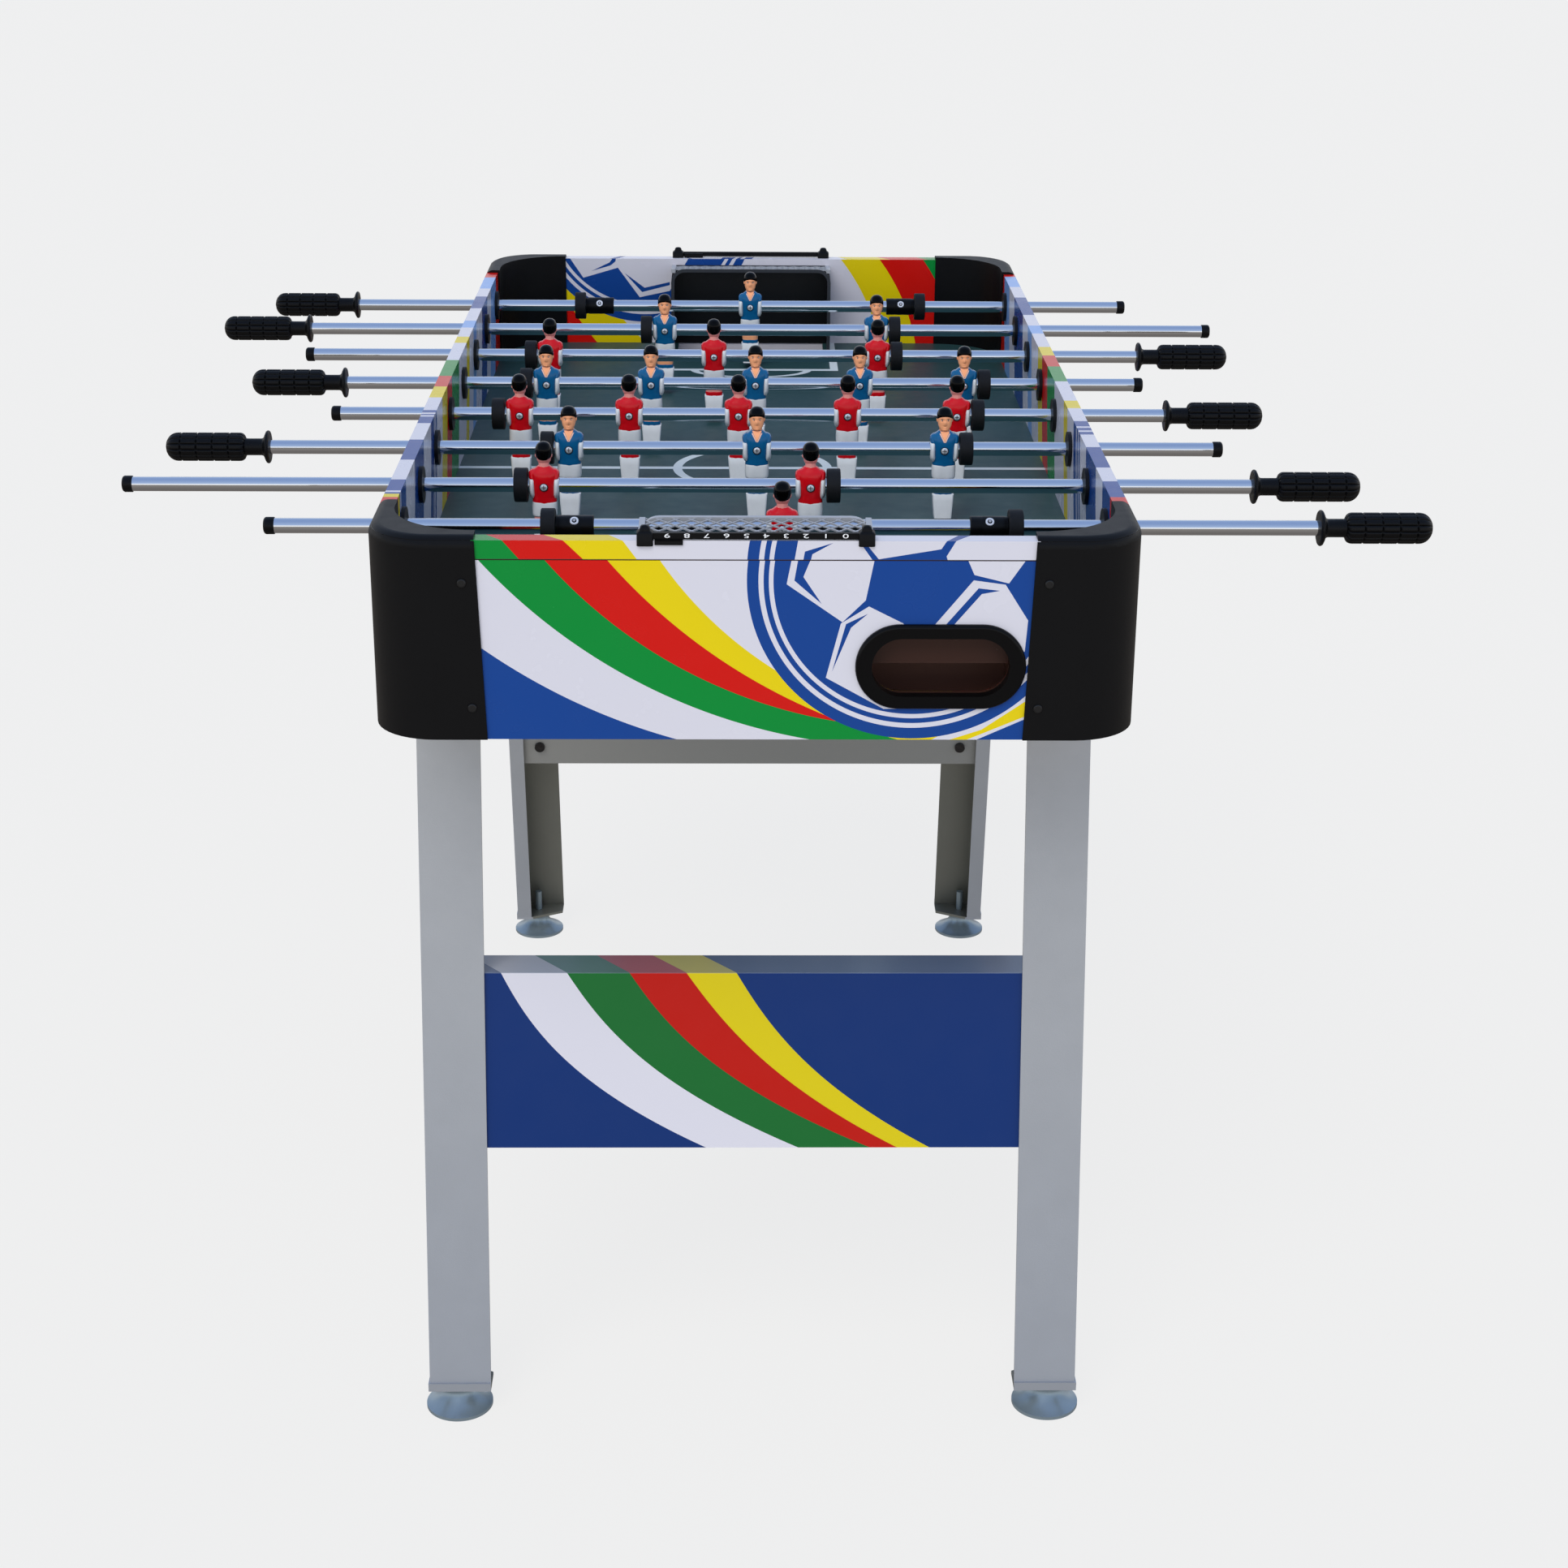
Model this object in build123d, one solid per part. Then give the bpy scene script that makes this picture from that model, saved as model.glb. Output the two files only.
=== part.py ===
"""Foosball table: eight sliding, spinning rods over a field in an open box on four splayed legs.

Millimetres. X runs across the table (along the rods), Y along the table, Z up.
The origin is on the floor under the middle of the field.
"""
from build123d import *
from math import atan, cos, degrees, hypot, radians
import os

# ---------------------------------------------------------------- driving dimensions
BOX_LENGTH = 1208.0         # along Y, over the end panels
BOX_WIDTH = 608.0           # along X, over the side panels
TOP_Z = 840.0               # top edge of the box
PANEL_HEIGHT = 164.0
SIDE_THICK = 12.5
END_THICK = 16.0
FIELD_Z = 740.0             # playing surface
FIELD_THICK = 4.0

ROD_PITCH = 131.0
ROD_Z = 810.0
ROD_R = 6.35
RUN_FIT = 0.05              # radial clearance of a rod in a bore
MEN_SPACING = {1: 0.0, 2: 232.0, 3: 172.0, 5: 105.0}
MEN_COUNT = (1, 2, 3, 5, 5, 3, 2, 1)            # rod 1 is nearest the front end
HANDLE_SIDE = (1, 1, -1, 1, -1, 1, -1, -1)      # +1: the handle is on the right
REST_SHIFT = (22.5, -67.0, 3.0, -14.0, 3.0, -40.0, 21.0, -1.0)
CAP_END = {1: 428.5, 2: 483.0, 3: 428.5, 5: 391.0}      # group centre to the rod's capped end
HANDLE_END = {1: 541.0, 2: 598.0, 3: 541.0, 5: 506.0}   # group centre to the handle's end
BUMPER_OUT = {1: 199.5, 2: 142.2, 3: 198.2, 5: 236.5}   # group centre to the bumper's outer face
FACES_PLUS_Y = (True, True, False, True, False, True, False, False)

BUSH_FACE_X = 288.0         # inner face of the rod bushings
BUSH_R = 16.0
BUSH_SLEEVE_R = 10.0
BUSH_OUT = 5.0              # how far the outer flange stands off the panel

GOAL_WIDTH = 186.0
GOAL_DEPTH = 60.0
GOAL_ROOF_Z = 833.0         # roof at the end panel
GOAL_LIP_Z = 839.0          # roof at its free edge
GOAL_WALL = 4.0
BALL_SLOT = 42.0            # depth of the slot in the field under each goal

RETURN_X = 146.0            # centre of the ball return
RETURN_Z = 737.5
RETURN_W = 113.0
RETURN_H = 52.0
RETURN_RIM = 11.0
RETURN_SKIN = 3.0

CAP_WALL = 2.0
CAP_FRONT = 219.0           # inner edge of a corner cap on the end panel
CAP_SIDE = 496.0            # inner edge of a corner cap on the side panel
CAP_OUT_R = 52.0
CAP_IN_R = 70.0
CAP_TOP = 843.0
CAP_RIM_R = 9.0

LEG_TOP_Z = 716.0
LEG_OUT_X = 291.5
LEG_END_FLANGE = 55.0
LEG_SIDE_FLANGE = 46.0
LEG_RETURN = 17.0           # the side flange's free edge, folded back inward
LEG_STEEL = 3.0
LEG_Y_AT_BOX = 420.0        # outer face of the leg level with the box's bottom edge
LEG_Y_AT_FLOOR = 548.0
LEG_BOTTOM_Z = 28.0
LEG_PLATE_END = 26.0        # depth of the bottom plate at its inner end
LEG_LIP = 1.2               # how far the turned-up edge of the bottom plate stands off the leg
LEG_LIP_UP = 5.0
FOOT_X = 267.0
FOOT_Y = 524.0
FOOT_R = 30.0
FOOT_TRAVEL = 12.0

STRETCHER_LOW = 249.0
STRETCHER_HIGH = 406.5
STRETCHER_THICK = 36.0
STRETCHER_BOLTS = ((255.0, 280.0), (255.0, 375.0))     # X, Z on the leg
BOLT_R = 3.0
BOLT_HEAD_R = 6.0
BOLT_HEAD = 4.0
BOLT_SKIN = 1.0      # steel left over a stretcher bolt's end, so that the leg's face is clean
LEG_SCREWS_Z = (688.0, 706.0)
LEG_SCREW_BITE = 9.0        # how far a leg's screw goes into the side board
CAP_SCREWS_END = ((229.0, 806.0), (224.0, 703.0))       # X, Z on the end board
CAP_SCREWS_SIDE = ((507.0, 806.0), (507.0, 703.0))      # Y, Z on the side board
CAP_SCREW_R = 3.6
CAP_SCREW_HEAD = 1.6

SCORER_LENGTH = 182.0
SCORER_POST = 12.0
SCORER_POST_TOP = 853.0
SCORER_BAR_Z = 846.3
SCORER_BAR_UP = 3.8         # half height of the bar
SLIDER_LENGTH = 22.0
SLIDER_GAP = 0.35           # play between the slider and the bar

MAN_UP = 39.0               # top of a man's head above the rod's axis
MAN_DOWN = 64.0             # sole of the kicking block below it
MAN_JERSEY = ((21.5, 14.0, -15.0), (24.0, 17.0, -10.0), (26.8, 19.0, 0.0), (27.2, 18.0, 8.0),
              (23.6, 15.0, 14.0), (13.0, 11.0, 17.0))     # width, depth, height above the axis
MAN_LEGS = ((17.0, 12.5, -44.6), (20.0, 14.0, -27.0), (21.0, 14.0, -15.0))
MAN_BLOCK = ((16.4, 20.0, -MAN_DOWN), (20.0, 12.0, -44.6))
MAN_NECK_R = 5.2
MAN_HEAD_R = 11.5           # half height of the head, which is 14 wide and 18 deep
HANDLE_LENGTH = 95.5
HANDLE_FLANGE_R = 15.0
HANDLE_GRIP_R = 13.0
HANDLE_GRIP_START = 22.5
HANDLE_NOSE = 8.0
TUBE_WALL = 1.2
TUBE_IN_HANDLE = 20.0       # how far short of the handle's end the tube stops
END_CAP_R = 7.2
END_CAP_LENGTH = 9.0
COLLAR_R = 9.25
COLLAR_LENGTH = 31.5
BUMPER_R = 15.0
BUMPER_THICK = 12.0

# ---------------------------------------------------------------- worked out
HALF_L = BOX_LENGTH / 2
HALF_W = BOX_WIDTH / 2
SCORER_BAR_Y = (HALF_L - 7, HALF_L - 2)
BOX_LOW = TOP_Z - PANEL_HEIGHT
SIDE_IN = HALF_W - SIDE_THICK
END_IN = HALF_L - END_THICK
FIELD_LOW = FIELD_Z - FIELD_THICK
ROD_Y = [(i - 3.5) * ROD_PITCH for i in range(8)]
LEG_SLOPE = (LEG_Y_AT_FLOOR - LEG_Y_AT_BOX) / BOX_LOW
LEG_TILT = degrees(atan(LEG_SLOPE))
CORNERS = {"front_left": (-1, -1), "front_right": (1, -1), "back_left": (-1, 1), "back_right": (1, 1)}
ENDS = {"front": -1, "back": 1}
SIDES = {"left": -1, "right": 1}

nodes = {}


def block(x0, x1, y0, y1, z0, z1):
    """A box between two corners."""
    centre = Pos((x0 + x1) / 2, (y0 + y1) / 2, (z0 + z1) / 2)
    return centre * Box(abs(x1 - x0), abs(y1 - y0), abs(z1 - z0))


def rod_along_x(radius, x0, x1, y=0.0, z=0.0):
    """A cylinder along X."""
    return Pos((x0 + x1) / 2, y, z) * Rot(0, 90, 0) * Cylinder(radius, abs(x1 - x0))


def rod_along_y(radius, y0, y1, x=0.0, z=0.0):
    """A cylinder along Y."""
    return Pos(x, (y0 + y1) / 2, z) * Rot(90, 0, 0) * Cylinder(radius, abs(y1 - y0))


def to_corner(shape, side, end):
    """Mirror a shape made for the +X +Y corner into another corner."""
    if side < 0:
        shape = mirror(shape, about=Plane.YZ)
    if end < 0:
        shape = mirror(shape, about=Plane.XZ)
    return shape


def to_end(shape, end):
    """Turn a shape made for the back end to the front end."""
    return shape if end > 0 else Rot(0, 0, 180) * shape


def stadium(width, height, y0, y1, x, z):
    """A slot-shaped bar along Y."""
    face = Plane.XZ * SlotOverall(width, height)
    return Pos(x, y1, z) * extrude(face, amount=y1 - y0)


def solids_of(shape):
    """The separate solids in a shape, as a list."""
    return list(shape.solids()) if hasattr(shape, "solids") else [shape]


# ---------------------------------------------------------------- corner caps
def cap_plan(wall=0.0):
    """Plan of a corner cap, its walls moved inward by wall."""
    out_x = HALF_W + CAP_WALL - wall
    out_y = HALF_L + CAP_WALL - wall
    in_x = SIDE_IN - CAP_WALL + wall
    in_y = END_IN - CAP_WALL + wall
    out_r = CAP_OUT_R - wall
    in_r = CAP_IN_R + wall
    ring = [
        Line((CAP_FRONT, out_y), (out_x - out_r, out_y)),
        RadiusArc((out_x - out_r, out_y), (out_x, out_y - out_r), out_r),
        Line((out_x, out_y - out_r), (out_x, CAP_SIDE)),
        Line((out_x, CAP_SIDE), (in_x, CAP_SIDE)),
        Line((in_x, CAP_SIDE), (in_x, in_y - in_r)),
        RadiusArc((in_x, in_y - in_r), (in_x - in_r, in_y), -in_r),
        Line((in_x - in_r, in_y), (CAP_FRONT, in_y)),
        Line((CAP_FRONT, in_y), (CAP_FRONT, out_y)),
    ]
    return make_face(Wire(ring))


def corner_cap():
    """One hollow corner cap for the +X +Y corner, open below and at its two ends."""
    whole = Pos(0, 0, BOX_LOW) * extrude(cap_plan(), amount=CAP_TOP - BOX_LOW)
    rim = [edge for edge in whole.edges().group_by(Axis.Z)[-1] if on_outside(edge)]
    whole = fillet(rim, CAP_RIM_R)
    hollow = Pos(0, 0, BOX_LOW) * extrude(cap_plan(CAP_WALL), amount=TOP_Z - BOX_LOW)
    under_field = block(0, SIDE_IN, 0, END_IN, BOX_LOW - 1, FIELD_Z)
    return whole - hollow - under_field


def on_outside(edge):
    """True for a rim edge on the outer outline of a corner cap."""
    c = edge.center()
    straight_x = abs(c.X - HALF_W - CAP_WALL) < 0.1
    straight_y = abs(c.Y - HALF_L - CAP_WALL) < 0.1
    corner_x = HALF_W + CAP_WALL - CAP_OUT_R
    corner_y = HALF_L + CAP_WALL - CAP_OUT_R
    past_corner = c.X > corner_x and c.Y > corner_y
    on_arc = past_corner and abs(hypot(c.X - corner_x, c.Y - corner_y) - CAP_OUT_R) < 2
    return straight_x or straight_y or on_arc


# ---------------------------------------------------------------- box
def box_outline():
    """The space the boards may fill, with the corners cut to fit inside the caps."""
    plan = RectangleRounded(BOX_WIDTH, BOX_LENGTH, CAP_OUT_R - CAP_WALL)
    return Pos(0, 0, BOX_LOW) * extrude(plan, amount=PANEL_HEIGHT)


def side_panel(side):
    """A long side board with a hole for every bushing."""
    board = block(SIDE_IN, HALF_W, -END_IN, END_IN, BOX_LOW, TOP_Z)
    for y in ROD_Y:
        board -= rod_along_x(BUSH_SLEEVE_R, SIDE_IN - 1, HALF_W + 1, y, ROD_Z)
    for end in (-1, 1):
        for z in LEG_SCREWS_Z:
            y = end * (leg_y(z) - LEG_SIDE_FLANGE / 2)
            board -= rod_along_x(BOLT_R, SIDE_IN - 1, SIDE_IN + LEG_SCREW_BITE, y, z)
    board = board & box_outline()
    return board if side > 0 else mirror(board, about=Plane.YZ)


def end_panel(end):
    """An end board: full width, with the pocket and the lower passage of the ball return."""
    board = block(-HALF_W, HALF_W, END_IN, HALF_L, BOX_LOW, TOP_Z) & box_outline()
    pocket = stadium(RETURN_W, RETURN_H, END_IN + RETURN_SKIN, HALF_L + 1, -RETURN_X, RETURN_Z)
    passage = stadium(RETURN_W, RETURN_H, END_IN - 1, HALF_L + 1, -RETURN_X, RETURN_Z)
    passage &= block(-HALF_W, 0, END_IN - 1, HALF_L + 1, BOX_LOW, FIELD_LOW)
    seam = block(-HALF_W, HALF_W, HALF_L - 0.6, HALF_L + 1, TOP_Z - 16.0, TOP_Z - 15.2)
    return to_end(board - pocket - passage - seam, end)


def playfield():
    """The field board, with a slot under each goal where the ball drops."""
    board = block(-SIDE_IN, SIDE_IN, -END_IN, END_IN, FIELD_LOW, FIELD_Z)
    slot_half = GOAL_WIDTH / 2 - GOAL_WALL - 3
    for end in (-1, 1):
        inner = end * (END_IN - BALL_SLOT)
        board -= block(-slot_half, slot_half, end * END_IN, inner, FIELD_LOW, FIELD_Z)
    for side in (-1, 1):
        for end in (-1, 1):
            solid_cap = Pos(0, 0, BOX_LOW) * extrude(cap_plan(), amount=CAP_TOP - BOX_LOW)
            board -= to_corner(solid_cap, side, end)
    return board


def field_battens():
    """Two long and three cross battens under the field."""
    size = 18.0
    low = FIELD_LOW - size
    pieces = []
    for side in (-1, 1):
        pieces.append(block(side * (SIDE_IN - size), side * SIDE_IN, -500, 500, low, FIELD_LOW))
    for y in (-330, 0, 330):
        pieces.append(block(-SIDE_IN + size, SIDE_IN - size, y - 20, y + 20, low, FIELD_LOW))
    return pieces


def rod_bushings():
    """A flanged bushing in each side panel for every rod."""
    pieces = []
    for side in (-1, 1):
        for y in ROD_Y:
            inner = rod_along_x(BUSH_R, BUSH_FACE_X, SIDE_IN, y, ROD_Z)
            sleeve = rod_along_x(BUSH_SLEEVE_R, BUSH_FACE_X, HALF_W + BUSH_OUT, y, ROD_Z)
            outer = rod_along_x(BUSH_R, HALF_W, HALF_W + BUSH_OUT, y, ROD_Z)
            bore = rod_along_x(ROD_R + RUN_FIT, BUSH_FACE_X - 1, HALF_W + BUSH_OUT + 1, y, ROD_Z)
            bush = inner + sleeve + outer - bore
            pieces.append(bush if side > 0 else mirror(bush, about=Plane.YZ))
    return pieces


# ---------------------------------------------------------------- goals and ball return
def goal(end):
    """A goal liner: an arch that projects from the end panel, its roof rising to the free edge."""
    half = GOAL_WIDTH / 2
    rise = GOAL_LIP_Z - GOAL_ROOF_Z

    def arch(inset, y, lift):
        width = 2 * (half - inset)
        top = GOAL_ROOF_Z + lift - inset
        plane = Plane(origin=(0, y, (top + FIELD_Z) / 2), x_dir=(1, 0, 0), z_dir=(0, 1, 0))
        face = plane * Rectangle(width, top - FIELD_Z)
        corners = face.vertices().group_by(Axis.Z)[-1]
        return fillet(corners, 16 - inset)

    outer = loft([arch(0, END_IN, 0), arch(0, END_IN - GOAL_DEPTH, rise)])
    inner = loft([arch(GOAL_WALL, END_IN + 1, 0), arch(GOAL_WALL, END_IN - GOAL_DEPTH - 1, rise)])
    inside = half - GOAL_WALL
    inner += block(-inside, inside, END_IN - GOAL_DEPTH - 1, END_IN + 1, FIELD_Z - 1, FIELD_Z + 20)
    return to_end(outer - inner, end)


def ball_chute(end):
    """The trough under a goal that carries the ball across to the return."""
    wall = 3.0
    y_in = END_IN - BALL_SLOT - wall
    x_high = GOAL_WIDTH / 2
    x_low = -(RETURN_X + RETURN_W / 2 + wall)
    floor_high = FIELD_LOW - 32
    floor_low = FIELD_LOW - 40
    outer = block(x_low, x_high, y_in, END_IN, floor_low - wall, FIELD_LOW)
    profile = Polyline(
        (x_low + wall, FIELD_LOW + 1),
        (x_high - wall, FIELD_LOW + 1),
        (x_high - wall, floor_high),
        (x_low + wall, floor_low),
        close=True,
    )
    depth = END_IN + 1 - y_in - wall
    space = Pos(0, END_IN + 1, 0) * extrude(Plane.XZ * make_face(profile), amount=depth)
    return to_end(outer - space, end)


def return_cup(end):
    """The stadium-shaped bezel of a ball return, with its short sleeve in the panel."""
    wide = RETURN_W + 2 * RETURN_RIM
    high = RETURN_H + 2 * RETURN_RIM - 4
    front = stadium(wide, high, HALF_L, HALF_L + 4.0, -RETURN_X, RETURN_Z)
    front = fillet(front.edges().group_by(Axis.Y)[-1], 3.0)
    sleeve = stadium(RETURN_W, RETURN_H, END_IN + RETURN_SKIN, HALF_L, -RETURN_X, RETURN_Z)
    hole = stadium(RETURN_W - 4, RETURN_H - 4, END_IN - 1, HALF_L + 5, -RETURN_X, RETURN_Z)
    passage = block(-HALF_W, 0, END_IN - 1, HALF_L - 6, BOX_LOW, FIELD_LOW)
    return to_end(front + (sleeve - passage) - hole, end)


# ---------------------------------------------------------------- legs
def leg_y(z):
    """Outer face of a leg at height z."""
    return LEG_Y_AT_BOX + LEG_SLOPE * (BOX_LOW - z)


def slanted(face_points, z0, z1):
    """Extrude a plan outline, given at height z0, up the slope of the legs to z1."""
    face = Pos(0, 0, z0) * make_face(Polyline(*face_points, close=True))
    run = Vector(0, -LEG_SLOPE * (z1 - z0), z1 - z0)
    return extrude(face, amount=run.length, dir=run.normalized())


def leg():
    """A splayed steel angle with a return fold, for the +X +Y corner, and its bottom plate."""
    y = leg_y(LEG_BOTTOM_Z)
    x_in = LEG_OUT_X - LEG_END_FLANGE
    x_out = LEG_OUT_X
    y_side = y - LEG_SIDE_FLANGE
    corner = (x_out - LEG_STEEL, y - LEG_STEEL)
    fold = x_out - LEG_RETURN
    outside = [(x_in, y), (x_out, y), (x_out, y_side), (fold, y_side)]
    inside = [(fold, y_side + LEG_STEEL), (corner[0], y_side + LEG_STEEL), corner, (x_in, corner[1])]
    angle = slanted(outside + inside, LEG_BOTTOM_Z, LEG_TOP_Z)
    plate_corners = [(x_in, y), (x_out, y), (x_out, y_side), (fold, y_side), (x_in, y - LEG_PLATE_END)]
    plate_plan = Polyline(*plate_corners, close=True)
    plate = Pos(0, 0, LEG_BOTTOM_Z - LEG_STEEL) * extrude(make_face(plate_plan), amount=LEG_STEEL)
    low = LEG_BOTTOM_Z - LEG_STEEL
    high = LEG_BOTTOM_Z + LEG_LIP_UP
    end_lip = block(x_in, x_out + LEG_LIP, corner[1], y + LEG_LIP, low, high)
    side_lip = block(corner[0], x_out + LEG_LIP, y_side, y + LEG_LIP, low, high)
    hole = Pos(FOOT_X, FOOT_Y, LEG_BOTTOM_Z) * Cylinder(4.4, 20)
    whole = angle + plate + end_lip + side_lip - hole
    for x, z in STRETCHER_BOLTS:
        whole -= across_leg(rod_along_y(BOLT_R, -LEG_STEEL - 2, -BOLT_SKIN), x, z)
    for z in LEG_SCREWS_Z:
        whole -= rod_along_x(BOLT_R, LEG_OUT_X - 10, LEG_OUT_X + 1, leg_y(z) - LEG_SIDE_FLANGE / 2, z)
    return whole


def leveller():
    """A flared foot on its threaded stem, made at the +X +Y corner."""
    profile = [
        Line((0, 0), (FOOT_R, 0)),
        Line((FOOT_R, 0), (FOOT_R, 3)),
        Spline((FOOT_R, 3), (19, 9), (12, 19), tangents=[(-1, 0.35), (-0.15, 1)]),
        Line((12, 19), (12, 24.4)),
        Line((12, 24.4), (4, 24.4)),
        Line((4, 24.4), (4, 52)),
        Line((4, 52), (0, 52)),
        Line((0, 52), (0, 0)),
    ]
    face = Plane.XZ * make_face(Wire(profile))
    return Pos(FOOT_X, FOOT_Y, 0) * revolve(face, axis=Axis.Z)


# ---------------------------------------------------------------- stretchers and fasteners
def across_leg(shape, x, z):
    """Place a shape made along -Y from the origin square to the leg's outer face at height z."""
    return Pos(x, leg_y(z), z) * Rot(LEG_TILT, 0, 0) * shape


def stretcher(end):
    """The printed board between two legs, bolted inside their end flanges."""
    x = LEG_OUT_X - LEG_STEEL - 1
    y_low = leg_y(STRETCHER_LOW) - LEG_STEEL
    depth = STRETCHER_THICK / cos(radians(LEG_TILT))
    plan = [(-x, y_low), (x, y_low), (x, y_low - depth), (-x, y_low - depth)]
    board = slanted(plan, STRETCHER_LOW, STRETCHER_HIGH)
    for bx, bz in STRETCHER_BOLTS:
        for side in (-1, 1):
            through = rod_along_y(BOLT_R, -LEG_STEEL - STRETCHER_THICK - 4, 0)
            board -= across_leg(through, side * bx, bz)
    return board if end > 0 else mirror(board, about=Plane.XZ)


def cap_screw():
    """The domed head of a corner cap's screw, along +Y from the cap's face."""
    head = rod_along_y(CAP_SCREW_R, 0, CAP_SCREW_HEAD)
    return fillet(head.edges().group_by(Axis.Y)[-1], 1.0)


def stretcher_bolt():
    """A bolt along -Y: a shank that ends under the leg's face, and its head inside the stretcher."""
    grip = LEG_STEEL * cos(radians(LEG_TILT)) + STRETCHER_THICK
    shank = rod_along_y(BOLT_R, -grip, -BOLT_SKIN)
    return shank + rod_along_y(BOLT_HEAD_R, -grip - BOLT_HEAD, -grip)


def leg_screw(z):
    """A screw through a leg's side flange into the side board."""
    inner = LEG_OUT_X - LEG_STEEL
    y = leg_y(z) - LEG_SIDE_FLANGE / 2
    shank = rod_along_x(BOLT_R, inner, SIDE_IN + LEG_SCREW_BITE, y, z)
    return shank + rod_along_x(BOLT_HEAD_R, inner - BOLT_HEAD, inner, y, z)


def fasteners():
    """Screws of the corner caps, bolts of the stretchers and screws of the legs."""
    one_corner = []
    for x, z in CAP_SCREWS_END:
        one_corner.append(Pos(x, HALF_L + CAP_WALL, z) * cap_screw())
    for y, z in CAP_SCREWS_SIDE:
        one_corner.append(Pos(HALF_W + CAP_WALL, y, z) * Rot(0, 0, -90) * cap_screw())
    for x, z in STRETCHER_BOLTS:
        one_corner.append(across_leg(stretcher_bolt(), x, z))
    for z in LEG_SCREWS_Z:
        one_corner.append(leg_screw(z))
    return [to_corner(piece, side, end) for side, end in CORNERS.values() for piece in one_corner]


# ---------------------------------------------------------------- scorers
def scorer_bar(end):
    """A number bar between two posts on the end panel's edge."""
    half = SCORER_LENGTH / 2
    bar_half = half - SCORER_POST / 2
    posts = None
    for side in (-1, 1):
        inner = side * (half - SCORER_POST)
        post = block(inner, side * half, HALF_L - 10.5, HALF_L + 2.5, TOP_Z - 4, SCORER_POST_TOP)
        post = fillet(post.edges().group_by(Axis.Z)[-1], 3.0)
        posts = post if posts is None else posts + post
    low = SCORER_BAR_Z - SCORER_BAR_UP
    high = SCORER_BAR_Z + SCORER_BAR_UP
    bar = block(-bar_half, bar_half, *SCORER_BAR_Y, low, high)
    panel_edge = block(-half - 1, half + 1, END_IN, HALF_L, BOX_LOW, TOP_Z)
    return to_end(posts + bar - panel_edge, end)


def scorer_slider(end):
    """The slider on a number bar, resting against the left post as seen from the front."""
    gap = SLIDER_GAP
    left = -SCORER_LENGTH / 2 + SCORER_POST + gap
    x0 = left if end > 0 else -left - SLIDER_LENGTH
    x1 = x0 + SLIDER_LENGTH
    body = block(x0, x1, HALF_L - 10, HALF_L + 1, TOP_Z + 0.8, SCORER_POST_TOP - 1)
    body = fillet(body.edges().filter_by(Axis.X), 2.0)
    low = SCORER_BAR_Z - SCORER_BAR_UP - gap
    high = SCORER_BAR_Z + SCORER_BAR_UP + gap
    slot = block(x0 - 1, x1 + 1, SCORER_BAR_Y[0] - gap, SCORER_BAR_Y[1] + gap, low, high)
    return to_end(body - slot, end)


# ---------------------------------------------------------------- rods
def man():
    """A player on the rod's axis, facing -Y: head, neck, jersey, legs and kicking block."""
    def body_of(sections, corner):
        faces = []
        for width, depth, z in sections:
            radius = min(width, depth) * corner
            faces.append(Plane(origin=(0, 0, z)) * RectangleRounded(width, depth, radius))
        return loft(faces)

    jersey = body_of(MAN_JERSEY, 0.35)
    legs = body_of(MAN_LEGS, 0.35)
    foot = body_of(MAN_BLOCK, 0.1)
    neck_z = MAN_JERSEY[-1][2]
    neck = Pos(0, 0, neck_z + 2) * Cylinder(MAN_NECK_R, 8)
    head = Pos(0, 0, MAN_UP - MAN_HEAD_R) * scale(Sphere(MAN_HEAD_R), by=(0.61, 0.78, 1.0))
    bore = rod_along_x(ROD_R, -20, 20)
    return jersey + legs + foot + neck + head - bore


def men_of(rod):
    """The men of a rod, at their places along it."""
    count = MEN_COUNT[rod]
    shape = man()
    if FACES_PLUS_Y[rod]:
        shape = Rot(0, 0, 180) * shape
    first = REST_SHIFT[rod] - MEN_SPACING[count] * (count - 1) / 2
    return [Pos(first + MEN_SPACING[count] * i, ROD_Y[rod], ROD_Z) * shape for i in range(count)]


def rod_ends(rod):
    """X of the rod's capped end and of its handle's outer end."""
    side = HANDLE_SIDE[rod]
    count = MEN_COUNT[rod]
    return REST_SHIFT[rod] - side * CAP_END[count], REST_SHIFT[rod] + side * HANDLE_END[count]


def tube_of(rod):
    """The chromed tube, from inside the end cap to inside the handle."""
    cap_x, handle_x = rod_ends(rod)
    side = HANDLE_SIDE[rod]
    start = cap_x + side * 2.0
    stop = handle_x - side * TUBE_IN_HANDLE
    tube = rod_along_x(ROD_R, start, stop, ROD_Y[rod], ROD_Z)
    return tube - rod_along_x(ROD_R - TUBE_WALL, start, stop, ROD_Y[rod], ROD_Z)


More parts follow.
